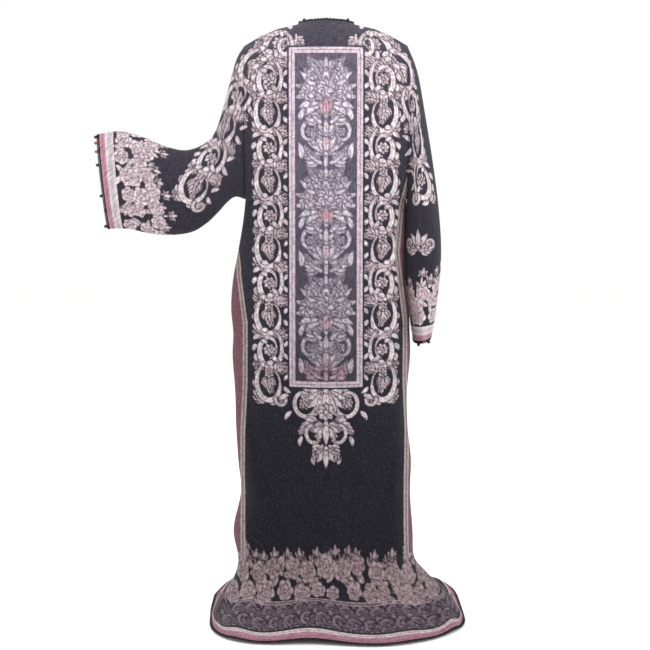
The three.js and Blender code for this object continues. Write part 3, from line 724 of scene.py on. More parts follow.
def drawEndScroll(art, x, low, high):
    # the small upright sprig at the foot of each side stripe
    stroke(art, [(x, low), (x, high)], [2.6, 1.8], vein=True)
    count = 4
    for k in range(count):
        z = lerp(low, high, (k + 0.3) / count)
        for hand in (-1, 1):
            leaf(art, x, z, halfPi - hand * 0.8, 17, 8, hand * 0.9)
    palmette(art, x, high, halfPi, 20, 5, 2.2, 0.36)


def layOver(art, part, keep):
    # the part's print over what is there, within keep
    art["ornament"] = np.where(keep, np.maximum(art["ornament"], part["ornament"]), art["ornament"])
    art["veins"] = np.where(keep & (part["ornament"] > -1), part["veins"], art["veins"])
    art["blush"] = np.maximum(art["blush"], part["blush"] * keep)


def hemPrint(art, across, fromHem, even):
    # roses, double line and running scroll of the hem, drawn in distance from it and stretched that way; even
    # stretches them as much the other way too, for the fronts, which hang upright
    tall, wide = layout["roseStretch"], layout["bandStretch"]
    border = blankPrint(across / (tall if even else 1), fromHem / tall)
    half = float(np.abs(border["x"]).max())
    low, high = layout["rosesFoot"] / tall, layout["rosesTop"] / tall
    roseBorder(border, (-half, half), (low + high) / 2, high - low, **layout["hemRoseBorder"])
    for at in layout["hemLines"]:
        addLine(border, border["z"], at / tall, 1.8)
    band = blankPrint(across / (wide if even else 1), fromHem / wide)
    half = float(np.abs(band["x"]).max())
    foot, top = layout["hemBand"][1] / wide, layout["hemBand"][0] / wide
    middle = (foot + top) / 2
    pitch = layout["bandPitch"]
    count = int(half // pitch) + 1
    for k in range(-count, count + 1):
        for row in (-1, 1):
            x, z = pitch * (k + 0.25 * row), middle + layout["bandRow"] * row
            hand = row if k % 2 else -row
            for other in (-1, 1):
                frond(band, x + other * 8, z - 11, halfPi - other * 1.1, 26, 14, other * 0.9, 4)
                leaf(band, x + other * 15, z + 12, halfPi - other * 0.5, 15, 8, other * 0.8)
            ovalStroke(band, x, z + 1, halfPi, 16, -hand * 14, -2.6, 8.6, 3.4, 0.62)
            palmette(band, x + pitch / 2, z - 16, halfPi, 29, 5, 2.4, 0.4)
            disc(band, x + pitch / 2, z + 13, 4.4)
    level = fromHem.ravel()
    layOver(art, border, (level > layout["hemBand"][0]) & (level < layout["rosesTop"] + 100))
    layOver(art, band, (level < layout["hemBand"][0]) & (level > layout["hemBand"][1] + 4))


def finishPrint(art, **layers):
    done = {name: art[name].reshape(art["shape"]) for name in ("ornament", "veins", "blush")}
    done.update({name: np.broadcast_to(value, art["shape"]).astype(float) for name, value in layers.items()})
    return done


# spacing of each sheet's grid along the cloth, in millimetres
panels = {
    "backSpacing": 3.05,
    "plainSpacing": 7.0,
    "frontSpacing": 4.3,
    "frontRows": 9.0,
    "sleeveSpacing": 3.3,
    "sleeveColumns": {-1: 208, 1: 176},
    "plainZone": (-1125, -1335),  # where the print is plain and the rows stand wider
    "measuredAt": 0.62,  # height share at which the columns are spaced
    "centreSteps": 3001,
}


def centreDown(side):
    # printed height down the middle of a side: the height itself, then the length along the train
    v = np.linspace(0, 1, panels["centreSteps"])
    u = np.zeros_like(v)
    points = bodySurface(side, u[None], v[None])[0]
    along = arcLengths(points)
    start = np.searchsorted(v, body["yokeShare"])
    printed = np.where(v <= body["yokeShare"], points[:, 2], points[start, 2] - (along - along[start]))
    return v, along, printed


def bodyRows(side, spacing, plain):
    v, along, printed = centreDown(side)
    low, high = panels["plainZone"][1], panels["plainZone"][0]
    inPlain = smoothStep(low - 20, low + 20, printed) * (1 - smoothStep(high - 20, high + 20, printed))
    return spreadBy(v, along, lerp(spacing, plain, inPlain))


def bodyColumns(side, first, last, spacing):
    u = np.linspace(first, last, 801)
    points = bodySurface(side, u[None], np.full((1, len(u)), panels["measuredAt"]))[0]
    return spreadBy(u, arcLengths(points), np.full(len(u), spacing))


def bodyPrint(side, u, v, grid):
    # printed place, distance from the hem and the stripes of trim at each point of a grid
    dense, _, printed = centreDown(side)
    height = np.where(v <= body["yokeShare"], grid[..., 2], np.interp(v, dense, printed))
    hem = printed[-1]
    fromHem = np.interp(v, dense, printed) - hem
    down = np.linalg.norm(np.diff(grid, axis=0), axis=2)
    realFromHem = np.concatenate([np.cumsum(down[::-1], axis=0)[::-1], np.zeros((1, grid.shape[1]))], 0)
    swollen = realFromHem * lerp(1, layout["hemSwell"][side], smoothStep(0.6, 0.9, np.abs(u)))
    trimDistance = lerp(fromHem, swollen, smoothStep(0.45, 0.65, np.abs(u)))
    trim = trimBy(trimDistance, layout["hemTrim"])
    x = grid[..., 0]
    for hand, table in ((-1, layout["leftStripe"]), (1, layout["rightStripe"])):
        zs, xs = np.array(table)[::-1].T
        top = layout["stripeTop"][hand]
        outwards, tapered = layout["stripeTaper"]
        shift = outwards * smoothStep(top - tapered, top, height)
        inner = np.interp(height, zs, xs) + shift
        wide = np.interp(height, zs, np.full(len(zs), float(layout["stripe"])))
        reach = hand * x - inner
        if side > 0:
            reach = (hand * u - layout["frontPanel"]) * layout["frontStripeScale"] - shift
        stripes = trimBy(-reach, (0, -wide.mean() / 3, -2 * wide.mean() / 3, -wide.mean()))
        limit = np.minimum((top - height) / 6, (height - layout["stripeFoot"]) / 6)
        trim = np.maximum(trim, np.where(limit > -3, np.minimum(stripes, limit * 3), -8))
    band = np.minimum(fromHem - layout["hemBand"][1], layout["hemBand"][0] - fromHem)
    return x, height, fromHem, np.clip(trim, -8, 12), band


def hemPale(fromHem):
    # the trim along the hem is paler than the side stripes
    return layout["hemPaleness"] * (1 - smoothStep(*layout["hemPaleEnd"], fromHem))


def backSheet():
    u = bodyColumns(-1, -1, 1, panels["backSpacing"])
    v = bodyRows(-1, panels["backSpacing"], panels["plainSpacing"])
    u, v = np.meshgrid(u, v)
    grid = bodySurface(-1, u, v)
    x, height, fromHem, trim, band = bodyPrint(-1, u, v, grid)
    art = blankPrint(x, height)
    drawShoulders(art)
    for side in (-1, 1):
        middle = side * layout["bandCentre"]
        scrollBand(art, [(middle, layout["bandTop"]), (middle, layout["bandFoot"])], layout["bandHalf"],
                   layout["scrollPitch"], side)
    drawFinial(art)
    for place in layout["endScrolls"]:
        drawEndScroll(art, *place)
    frameDistance = np.minimum(layout["panelHalf"] - np.abs(x),
                               np.minimum(height - layout["panelFoot"], layout["panelTop"] - height))
    inside = frameDistance.ravel()
    panel = blankPrint(x, height)
    drawPanel(panel)
    keep = inside > layout["frame"] - 1
    outside = np.where(inside > -4, np.minimum(art["ornament"], -inside - 3), art["ornament"])
    limited = np.minimum(panel["ornament"], inside - layout["frame"] - 1)
    art["ornament"] = np.where(keep, limited, outside)
    art["veins"] = np.where(keep, panel["veins"], art["veins"])
    art["blush"] = np.where(keep, panel["blush"], 0)
    hemPrint(art, x, fromHem, False)
    a, b = flatPlaces(grid, centre=grid.shape[1] // 2)
    layers = finishPrint(art, frame=np.clip(frameDistance, -40, 120), trim=trim, clothA=a, clothB=b,
                         lilac=np.clip(np.maximum(frameDistance - layout["frame"], band), -40, 120),
                         pale=hemPale(fromHem))
    return sheetMesh("backCloth", grid, layers, turned=("top", "bottom", "start", "end")), grid


def frontSheet(hand):
    name = "frontClothLeft" if hand < 0 else "frontClothRight"
    edge = math.asin(body["frontOpening"] / body["shoulderHalf"]) / halfPi
    u = hand * bodyColumns(1, edge, 1, panels["frontSpacing"])
    v = bodyRows(1, panels["frontSpacing"], panels["frontRows"])
    u, v = np.meshgrid(u, v)
    grid = bodySurface(1, u, v)
    grid[:, 0, 0] = hand * body["frontOpening"]
    x, height, fromHem, trim, band = bodyPrint(1, u, v, grid)
    art = blankPrint(x, height)
    drawShoulders(art, (hand,))
    hemPrint(art, x, fromHem, True)
    a, b = flatPlaces(grid)
    layers = finishPrint(art, frame=-40.0, trim=trim, clothA=a, clothB=b, lilac=np.clip(band, -40, 120),
                         pale=hemPale(fromHem))
    return sheetMesh(name, grid, layers, flip=hand > 0, turned=("top", "bottom", "start", "end")), grid


def sleeveSheet(side):
    name = "sleeveClothLeft" if side < 0 else "sleeveClothRight"
    rings = leftRings if side < 0 else rightRings
    dense = np.linspace(0, 1, 400)
    middle = sleeveSurface(rings, side, np.full((1, 400), 0.75), dense[None])[0]
    v = spreadBy(dense, arcLengths(middle), np.full(400, panels["sleeveSpacing"]))
    columns = panels["sleeveColumns"][side]
    turn = np.linspace(0, 1, columns + 1)
    turn, v = np.meshgrid(turn[:-1], v)
    grid = sleeveSurface(rings, side, turn, v)
    x, z = grid[..., 0], grid[..., 2]
    closed = np.concatenate([grid, grid[:, :1]], 1)
    across, down = flatPlaces(closed)
    around = across[:, :-1]
    # over the top of the arm the print follows the cloth, the same way on both faces
    back, front = int(round(0.75 * columns)), int(round(0.25 * columns))
    behind = turn > 0.5
    up = np.where(behind, around[:, back:back + 1] - around, around - around[:, front:front + 1])
    onArm = smoothStep(0, 0.3, v)
    if side > 0:
        x = lerp(x, 250 + 0.75 * up, onArm)
    else:
        z = lerp(z, np.where(behind, z[:, back:back + 1], z[:, front:front + 1]) + up, onArm)
    art = blankPrint(x, z)
    drawShoulders(art, (side,))
    if side > 0:
        palmette(art, 236, -560, halfPi, 40, 7, 2.6, 0.3)
        for hand in (-1, 1):
            frond(art, 236, -566, halfPi - hand * 1.7, 40, 16, hand * 0.9, 4)
            curl(art, 236 + hand * 26, -548, 13, -halfPi, hand, 1.1, 3.0, 1.8)
    fromCuff = (down[-1] - down)[:, :-1]
    level = np.broadcast_to(fromCuff.mean(1, keepdims=True), fromCuff.shape)
    fromCuff = lerp(fromCuff, level, 0.5)
    span = across[-1, -1]
    scaled = around / across[:, -1:] * span
    cuff = blankPrint(scaled, fromCuff)
    low, high = layout["cuffRoses"]
    roseBorder(cuff, (0, span), (low + high) / 2, high - low, seed=8 + side, **layout["cuffRoseBorder"])
    art["blush"] *= layout["sleeveBlush"]
    layOver(art, cuff, fromCuff.ravel() < high + 60)
    trim = np.clip(trimBy(fromCuff, layout["cuffTrim"]), -8, 12)
    layers = finishPrint(art, frame=-40.0, trim=trim, clothA=around, clothB=down[:, :-1], lilac=-40.0, pale=1.0)
    return sheetMesh(name, grid, layers, wrap=True, flip=side > 0), grid


def addNode(tree, kind, inputs=None, **settings):
    node = tree.nodes.new(kind)
    for name, value in settings.items():
        setattr(node, name, value)
    for key, value in (inputs or {}).items():
        if isinstance(value, bpy.types.NodeSocket):
            tree.links.new(value, node.inputs[key])
        else:
            node.inputs[key].default_value = value
    return node


def newMaterial(name):
    material = bpy.data.materials.new(name)
    material.use_nodes = True
    tree = material.node_tree
    return material, tree, tree.nodes["Principled BSDF"]


clothLook = {
    # the ground colour by height, darker down the cloth: painted shade, as light falls off from above
    "ground": ((0.0, "#423f4a"), (0.12, "#37343f"), (0.38, "#2b2832"), (0.8, "#17151e")),
    "groundShadeFoot": -1.3,
    "panelGround": ("#3c3843", "#524c59"),
    "panelCloud": 34.0,
    "softness": (-0.8, 0.45),  # mm past a motif's outline over which it fades
    "panelSoftness": (-1.3, 0.55),
    "motifCore": (0.2, 2.8),  # mm inside a motif over which its outline turns into its own colour
    "ivory": "#d0c7c9",
    "outline": "#a6939a",
    "lilacMotif": "#c2b8c1",
    "lilacOutline": "#8a808c",
    "pink": "#a9707f",
    "slub": "#8d8890",
    "beige": "#96887f",
    "stripeLilac": "#6f6470",
    "cuffBeige": "#c6b9b6",
    "cuffLilac": "#b2a8b0",
    "mauve": "#69434f",
    "paleMauve": "#ab7c8e",
    "frameLines": ((0.0, "#4a4450"), (0.08, "#b2a5ad"), (0.42, "#766a75"), (0.52, "#b5a1aa"), (0.92, "#5c5460")),
    "bleedScale": 420.0,
    "bleed": 0.9,
    "etchedScale": 120.0,
    "etchedShade": (0.4, 0.56, 0.62, 1.06),
    "veinShade": (0.5, 1.9, 0.66, 1.0),
    # painted light by height: the print, the frame lines and the panel ground are lighter at the top, and painted
    # shade darkens them down the cloth; the sleeves keep one even level
    "paintedLightHeights": (-0.28, -1.36),
    "paintedLightTop": 1.2,
    "paintedShadeFoot": 0.48,
    "sleevePaintedLight": 1.04,
    # the panel's own painted light and shade: lighter at its top, darker at its foot
    "panelPaintedLightHeights": (-0.15, -0.85),
    "panelPaintedLight": (1.12, 0.8),
    "footHeights": (-1.08, -1.36),
    "lowTint": (1.0, 0.91, 0.91, 1.0),
    "bandTint": (0.8, 0.67, 0.74, 1.0),
    "yarnStretch": ((230.0, 60.0, 1.0), (60.0, 230.0, 1.0)),
    "yarnShade": (0.7, 1.3, 0.58, 1.46),
    "slubStretch": (190.0, 330.0, 1.0),
    "slubShare": (0.6, 0.78, 0.0, 0.17),
    "threadPitch": 0.0016,  # yarn is nearer 0.7 mm; drawn coarser so that it shows
    "bumpDistance": 0.00035,
    "roughness": 0.86,
    "sheen": 0.04,
    "specular": 0.14,
}


def printedClothMaterial():
    # slubby wool and linen plain weave, matt, the print soaked into the yarn
    look = clothLook
    material, tree, shader = newMaterial("printedWoolLinenWeave")
    value = {name: addNode(tree, "ShaderNodeAttribute", attribute_name=name).outputs["Fac"]
             for name in ("ornament", "veins", "blush", "frame", "lilac", "trim", "pale")}
    place = addNode(tree, "ShaderNodeTexCoord").outputs["Object"]
    flat = addNode(tree, "ShaderNodeUVMap", uv_map="cloth").outputs["UV"]

    def ranged(socket, low, high, first=0.0, last=1.0):
        return addNode(tree, "ShaderNodeMapRange", {"Value": socket, "From Min": low, "From Max": high,
                                                    "To Min": first, "To Max": last}).outputs[0]

    def noise(vector, scale, detail, roughness=0.5):
        return addNode(tree, "ShaderNodeTexNoise", {"Vector": vector, "Scale": scale, "Detail": detail,
                                                    "Roughness": roughness}).outputs["Fac"]

    def combine(a, b, operation, **settings):
        return addNode(tree, "ShaderNodeMath", {0: a, 1: b}, operation=operation, **settings).outputs[0]

    def grey(socket):
        return addNode(tree, "ShaderNodeCombineColor", {0: socket, 1: socket, 2: socket}).outputs[0]

    def mix(factor, a, b, blend="MIX"):
        node = addNode(tree, "ShaderNodeMix", {0: factor, 6: a, 7: b}, data_type="RGBA", blend_type=blend)
        return node.outputs[2]

    def ramp(factor, stops, between="CONSTANT"):
        node = addNode(tree, "ShaderNodeValToRGB", {0: factor})
        node.color_ramp.interpolation = between
        for k, (share, code) in enumerate(stops):
            stop = node.color_ramp.elements[k] if k < 2 else node.color_ramp.elements.new(share)
            stop.position = share
            stop.color = linear(code)
        return node.outputs["Color"]

    bleedShift = ranged(noise(place, look["bleedScale"], 2.0), 0.0, 1.0, -look["bleed"], look["bleed"])
    inside = lambda socket, low, high: ranged(combine(socket, bleedShift, "ADD"), low, high)

    # painted light by height: the print is drawn lighter at the top and in painted shade down the cloth; on the
    # sleeves it stays even
    height = addNode(tree, "ShaderNodeSeparateXYZ", {0: place}).outputs["Z"]
    paintedFall = ranged(height, *look["paintedLightHeights"], look["paintedLightTop"], look["paintedShadeFoot"])
    onSleeve = ranged(value["pale"], 0.6, 1.0)
    paintedLight = addNode(tree, "ShaderNodeMix", {0: onSleeve, 2: paintedFall, 3: look["sleevePaintedLight"]}).outputs[0]
    paintedLightGrey = grey(paintedLight)

    # the ground colour: lighter at the top and darker down the cloth, painted shade by height
    colour = ramp(ranged(height, 0.0, look["groundShadeFoot"]), look["ground"], "LINEAR")
    frameLines = ramp(ranged(value["frame"], 0.0, layout["frame"]), look["frameLines"])
    # the frame's lines, under the painted light by height
    colour = mix(inside(value["frame"], -0.4, 0.4), colour, mix(1.0, frameLines, paintedLightGrey, "MULTIPLY"))

    # the panel and the hem band share one ground; the panel gets its own painted shade, lighter at its top and
    # darker at its foot, the band is tinted
    inLilac = inside(value["lilac"], -0.4, 0.4)
    footShare = ranged(height, *look["footHeights"])
    upper = combine(inLilac, footShare, "SUBTRACT", use_clamp=True)
    tone = mix(footShare, (1.0, 1.0, 1.0, 1.0), mix(inLilac, look["lowTint"], look["bandTint"]))
    # in the panel the tone is its painted light and shade by height
    tone = mix(upper, tone, grey(ranged(height, *look["panelPaintedLightHeights"], *look["panelPaintedLight"])))
    lilacGround = mix(noise(place, look["panelCloud"], 3.0), *(linear(code) for code in look["panelGround"]))
    # the lilac ground under the painted light by height, twice, then the tint or the panel's painted shade
    for shade in (paintedLightGrey, paintedLightGrey, tone):
        lilacGround = mix(1.0, lilacGround, shade, "MULTIPLY")
    colour = mix(inLilac, colour, lilacGround)

    # motifs: an outline, their own colour, drawn veins and a worn, etched surface
    core = inside(value["ornament"], *look["motifCore"])
    motif = mix(inLilac, mix(core, linear(look["outline"]), linear(look["ivory"])),
                mix(core, linear(look["lilacOutline"]), linear(look["lilacMotif"])))
    motif = mix(value["blush"], motif, linear(look["pink"]))
    etched = ranged(noise(place, look["etchedScale"], 5.0, 0.7), *look["etchedShade"])
    shade = combine(ranged(value["veins"], *look["veinShade"]), etched, "MULTIPLY")
    # the painted light by height over the motifs
    motif = mix(1.0, motif, grey(combine(shade, paintedLight, "MULTIPLY")), "MULTIPLY")
    printed = mix(upper, inside(value["ornament"], *look["softness"]),
                  inside(value["ornament"], *look["panelSoftness"]))
    # the motifs under the same tint or panel painted shade
    colour = mix(printed, colour, mix(1.0, motif, tone, "MULTIPLY"))

    # the stripes of trim
    share = ranged(value["trim"], 0.0, 10.0)
    dark, fair = (ramp(share, list(zip((0.0, 0.1, 0.2, 0.3), (look[name] for name in names)))) for names in
                  (("beige", "stripeLilac", "beige", "mauve"), ("cuffBeige", "cuffLilac", "cuffBeige", "paleMauve")))
    colour = mix(ranged(value["trim"], -0.06, 0.06), colour, mix(value["pale"], dark, fair))

    # thick and thin yarn both ways, and pale slubs caught in it
    stretched = lambda scale: addNode(tree, "ShaderNodeMapping", {"Vector": flat, "Scale": scale}).outputs[0]
    yarn = combine(*(noise(stretched(scale), 1.0, 2.0) for scale in look["yarnStretch"]), "ADD")
    colour = mix(1.0, colour, grey(ranged(yarn, *look["yarnShade"])), "MULTIPLY")
    slub = ranged(noise(stretched(look["slubStretch"]), 1.0, 1.0), *look["slubShare"])
    colour = mix(slub, colour, linear(look["slub"]))
    tree.links.new(colour, shader.inputs["Base Color"])

    bandScale = 0.314 / look["threadPitch"]
    waves = [addNode(tree, "ShaderNodeTexWave", {"Vector": flat, "Scale": bandScale, "Distortion": 0.6},
                     bands_direction=axis).outputs["Fac"] for axis in ("X", "Y")]
    weave = combine(*waves, "MULTIPLY")
    relief = addNode(tree, "ShaderNodeMath", {0: weave, 1: yarn, 2: 0.5}, operation="MULTIPLY_ADD").outputs[0]
    bump = addNode(tree, "ShaderNodeBump", {"Height": relief, "Strength": 0.55, "Distance": look["bumpDistance"]})
    tree.links.new(bump.outputs[0], shader.inputs["Normal"])
    shader.inputs["Roughness"].default_value = look["roughness"]
    shader.inputs["Specular IOR Level"].default_value = look["specular"]
    shader.inputs["Sheen Weight"].default_value = look["sheen"]
    shader.inputs["Sheen Roughness"].default_value = 0.5
    return material


threadLook = {"colour": "#0b0a0d", "light": "#17161b", "roughness": 0.72, "twist": 0.0012}


def cottonThreadMaterial():
    # black mercerised crochet cotton: twisted, with a low shine on each ply
    look = threadLook
    material, tree, shader = newMaterial("crochetCotton")
    coords = addNode(tree, "ShaderNodeTexCoord")
    twist = addNode(tree, "ShaderNodeTexWave", {"Vector": coords.outputs["Object"], "Scale": 0.314 / look["twist"],
                                                "Distortion": 2.0}, bands_direction="DIAGONAL")
    colour = addNode(tree, "ShaderNodeMix", {0: twist.outputs["Fac"], 6: linear(look["colour"]),
                                             7: linear(look["light"])}, data_type="RGBA")
    tree.links.new(colour.outputs[2], shader.inputs["Base Color"])
    bump = addNode(tree, "ShaderNodeBump", {"Height": twist.outputs["Fac"], "Strength": 0.5, "Distance": 0.0002})
    tree.links.new(bump.outputs[0], shader.inputs["Normal"])
    shader.inputs["Roughness"].default_value = look["roughness"]
    shader.inputs["Specular IOR Level"].default_value = 0.25
    return material


def beadMaterial(name, code, second):
    # polished bead, slightly cloudy under a smooth surface
    material, tree, shader = newMaterial(name)
    coords = addNode(tree, "ShaderNodeTexCoord")
    cloudy = addNode(tree, "ShaderNodeTexNoise", {"Vector": coords.outputs["Object"], "Scale": 260.0, "Detail": 3.0})
    colour = addNode(tree, "ShaderNodeMix", {0: cloudy.outputs["Fac"], 6: linear(code), 7: linear(second)},
                     data_type="RGBA")
    tree.links.new(colour.outputs[2], shader.inputs["Base Color"])
    scuffed = addNode(tree, "ShaderNodeMapRange", {"Value": cloudy.outputs["Fac"], "To Min": 0.14, "To Max": 0.3})
    tree.links.new(scuffed.outputs[0], shader.inputs["Roughness"])
    return material


# crocheted edging, beads and stitching, in millimetres
edging = {
    "cord": 1.6,
    "set": 0.9,
    "neckPitch": 9.0,
    "cuffPitch": 5.6,
    "neckReach": 4.8,
    "cuffReach": 4.2,
    "hemPitch": 8.0,
    "hemReach": 4.6,
    "thread": 1.3,
    "cordSides": 7,
    "cordPitch": 4.0,
    "cordStart": 2.0,
    "loopSides": 6,
    "beadRadius": 4.2,
    "beadSides": 18,
    "stitchIn": 8.0,
    "stitchPitch": 5.0,
    "stitchLength": 3.2,
    "stitchThread": 0.35,
    "stitchSides": 5,
    "stitchStart": 4.0,
    "neckBeadGap": 0.8,
    "cuffBeadGap": 0.6,
}


def rimPath(edge, inside, closed=False):
    # points of a rim with the directions along it, away from the cloth and out of its face
    edge = np.asarray(edge)
    if closed:
        along = np.roll(edge, -1, axis=0) - np.roll(edge, 1, axis=0)
    else:
        along = np.gradient(edge, axis=0)
    along /= np.maximum(np.linalg.norm(along, axis=1, keepdims=True), 1e-9)
    away = edge - np.asarray(inside)
    away -= along * (away * along).sum(1, keepdims=True)
    away /= np.maximum(np.linalg.norm(away, axis=1, keepdims=True), 1e-9)
    return {"point": edge, "along": along, "away": away, "closed": closed}


def stations(path, pitch, start):
    # even places along a path, a whole number of pitches apart
    point = path["point"]
    around = np.concatenate([point, point[:1]]) if path["closed"] else point
    lengths = arcLengths(around)
    count = max(2, int(round((lengths[-1] - 2 * start) / pitch)))
    places = np.linspace(start, lengths[-1] - start, count + 1)
    if path["closed"]:
        places = places[:-1]
    result = {"closed": path["closed"]}
    for name in ("point", "along", "away"):
        values = np.concatenate([path[name], path[name][:1]]) if path["closed"] else path[name]
        result[name] = np.stack([np.interp(places, lengths, values[:, k]) for k in range(3)], -1)
    for name in ("along", "away"):
        result[name] /= np.maximum(np.linalg.norm(result[name], axis=1, keepdims=True), 1e-9)
    return result


def addPiece(name, mesh):
    piece = bpy.data.objects.new(name, mesh)
    bpy.context.scene.collection.objects.link(piece)
    return piece


def smoothPiece(name, points, faces, material):
    mesh = bpy.data.meshes.new(name)
    mesh.from_pydata(points.tolist(), [], faces)
    mesh.polygons.foreach_set("use_smooth", np.ones(len(faces), bool))
    mesh.materials.append(material)
    mesh.update()
    return addPiece(name, mesh)


def cordParts(path):
    # a round cord that runs along the rim
    radius, reach, sides = (edging[name] for name in ("cord", "set", "cordSides"))
    centre = path["point"] + path["away"] * reach
    face = np.cross(path["along"], path["away"])
    rings = []
    for k in range(sides):
        angle = 2 * math.pi * k / sides
        rings.append(centre + radius * (math.cos(angle) * path["away"] + math.sin(angle) * face))
    points = np.stack(rings, 1).reshape(-1, 3)
    count = len(centre)
    faces = []
    for r in range(count if path["closed"] else count - 1):
        following = (r + 1) % count
        for k in range(sides):
            other = (k + 1) % sides
            faces.append([r * sides + k, following * sides + k, following * sides + other, r * sides + other])
    if not path["closed"]:
        faces.append(list(range(sides))[::-1])
        faces.append([(count - 1) * sides + k for k in range(sides)])
    volume = 0.0
    for corners in faces[:sides]:
        a, b, c = (points[corners[k]] - centre[0] for k in range(3))
        volume += np.dot(a, np.cross(b, c))
    if volume < 0:
        faces = [corners[::-1] for corners in faces]
    return points * millimetre, faces


def repeatTree(name, shape):
    # shape builds the repeated form from the group input and returns its geometry socket
    tree = bpy.data.node_groups.new(name, "GeometryNodeTree")
    tree.interface.new_socket("Geometry", in_out="INPUT", socket_type="NodeSocketGeometry")
    for label in ("Width", "Reach", "Thread"):
        tree.interface.new_socket(label, in_out="INPUT", socket_type="NodeSocketFloat")
    tree.interface.new_socket("Sides", in_out="INPUT", socket_type="NodeSocketInt")
    tree.interface.new_socket("Material", in_out="INPUT", socket_type="NodeSocketMaterial")
    tree.interface.new_socket("Geometry", in_out="OUTPUT", socket_type="NodeSocketGeometry")
    source = addNode(tree, "NodeGroupInput")
    form = shape(tree, source)
    axes = [addNode(tree, "GeometryNodeInputNamedAttribute", {"Name": label}, data_type="FLOAT_VECTOR")
            for label in ("along", "away")]
    turn = addNode(tree, "FunctionNodeAxesToRotation", {"Primary Axis": axes[0].outputs[0],
                                                        "Secondary Axis": axes[1].outputs[0]},
                   primary_axis="X", secondary_axis="Y")
    placed = addNode(tree, "GeometryNodeInstanceOnPoints", {"Points": source.outputs["Geometry"], "Instance": form,
                                                            "Rotation": turn.outputs[0]})
    real = addNode(tree, "GeometryNodeRealizeInstances", {"Geometry": placed.outputs[0]})
    smooth = addNode(tree, "GeometryNodeSetShadeSmooth", {"Geometry": real.outputs[0]})
    finished = addNode(tree, "GeometryNodeSetMaterial", {"Geometry": smooth.outputs[0],
                                                         "Material": source.outputs["Material"]})
    addNode(tree, "NodeGroupOutput", {"Geometry": finished.outputs[0]})
    return tree


def threadArch(tree, source, height, resolution):
    # one arch of thread as wide as Width
    ends = []
    for share in (-0.5, 0.5):
        x = addNode(tree, "ShaderNodeMath", {0: source.outputs["Width"], 1: share}, operation="MULTIPLY").outputs[0]
        ends.append(addNode(tree, "ShaderNodeCombineXYZ", {0: x}).outputs[0])
    middle = addNode(tree, "ShaderNodeCombineXYZ", {1: height}).outputs[0]
    arch = addNode(tree, "GeometryNodeCurveQuadraticBezier", {"Resolution": resolution, "Start": ends[0],
                                                              "Middle": middle, "End": ends[1]})
    profile = addNode(tree, "GeometryNodeCurvePrimitiveCircle", {"Resolution": source.outputs["Sides"],
                                                                 "Radius": source.outputs["Thread"]})
    return addNode(tree, "GeometryNodeCurveToMesh", {"Curve": arch.outputs[0], "Profile Curve": profile.outputs[0],
                                                     "Fill Caps": True}).outputs[0]


def picotShape(tree, source):
    # one pointed loop of thread, its feet on the cord
    top = addNode(tree, "ShaderNodeMath", {0: source.outputs["Reach"], 1: 2.0}, operation="MULTIPLY").outputs[0]
    return threadArch(tree, source, top, 8)


def stitchShape(tree, source):
    # one straight stitch that dips into the cloth at both ends
    return threadArch(tree, source, source.outputs["Reach"], 3)


def beadShape(tree, source):
    return addNode(tree, "GeometryNodeMeshUVSphere", {"Segments": source.outputs["Sides"], "Rings": 12,
                                                      "Radius": source.outputs["Reach"]}).outputs[0]


def repeated(name, tree, places, width, reach, thread, sides, material):
    # runs the tree on points that carry their own directions, and returns the plain mesh
    mesh = bpy.data.meshes.new(name)
    mesh.from_pydata((places["point"] * millimetre).tolist(), [], [])
    for label in ("along", "away"):
        attribute = mesh.attributes.new(label, "FLOAT_VECTOR", "POINT")
        attribute.data.foreach_set("vector", np.ascontiguousarray(places[label].ravel(), dtype=np.float32))
    carrier = bpy.data.objects.new(name + "Places", mesh)
    bpy.context.scene.collection.objects.link(carrier)
    modifier = carrier.modifiers.new("repeat", "NODES")
    modifier.node_group = tree
    values = {"Width": width * millimetre, "Reach": reach * millimetre, "Thread": thread * millimetre,
              "Sides": sides, "Material": material}
    for item in tree.interface.items_tree:
        if item.in_out == "INPUT" and item.name in values:
            modifier[item.identifier] = values[item.name]
    depsgraph = bpy.context.evaluated_depsgraph_get()
    made = bpy.data.meshes.new_from_object(carrier.evaluated_get(depsgraph))
    carrier.modifiers.remove(modifier)
    bpy.data.objects.remove(carrier)
    made.name = name
    made.materials.clear()
    made.materials.append(material)
    return made


def mergePieces(name, pieces):
    # one mesh from several that share a material
    vertices, faces, offset = [], [], 0
    for piece in pieces:
        mesh = piece.data if isinstance(piece, bpy.types.Object) else piece
        points = np.empty(3 * len(mesh.vertices))
        mesh.vertices.foreach_get("co", points)
        vertices.append(points.reshape(-1, 3))
        faces += [[v + offset for v in polygon.vertices] for polygon in mesh.polygons]
        offset += len(mesh.vertices)
        material = mesh.materials[0]
        if isinstance(piece, bpy.types.Object):
            bpy.data.objects.remove(piece)
    return smoothPiece(name, np.concatenate(vertices), faces, material)


# camera, light and floor, in metres; the focal length and the image width in pixels
studio = {
    "focal": 1580,
    "imageWidth": 650,
    "sensor": 36,
    "distance": 4.0,
    "aside": -0.0025,
    "eye": -0.367,
    "pitch": 5.6,
    "floor": -1.4665,
    "floorRadius": 12.0,
    "floorSides": 64,
    "paper": "#fdfdfc",
    "lights": (("keyLight", (2.5, -3.2, 1.6), 2.0, 70, (0, 0, -0.7)),
               ("topLight", (-0.4, -1.0, 2.6), 2.4, 40, (0, 0.1, -1.0)),
               ("backLight", (-1.6, 2.8, 1.6), 2.2, 40, (0, 0, -0.7))),  # place, width, power, aim
}


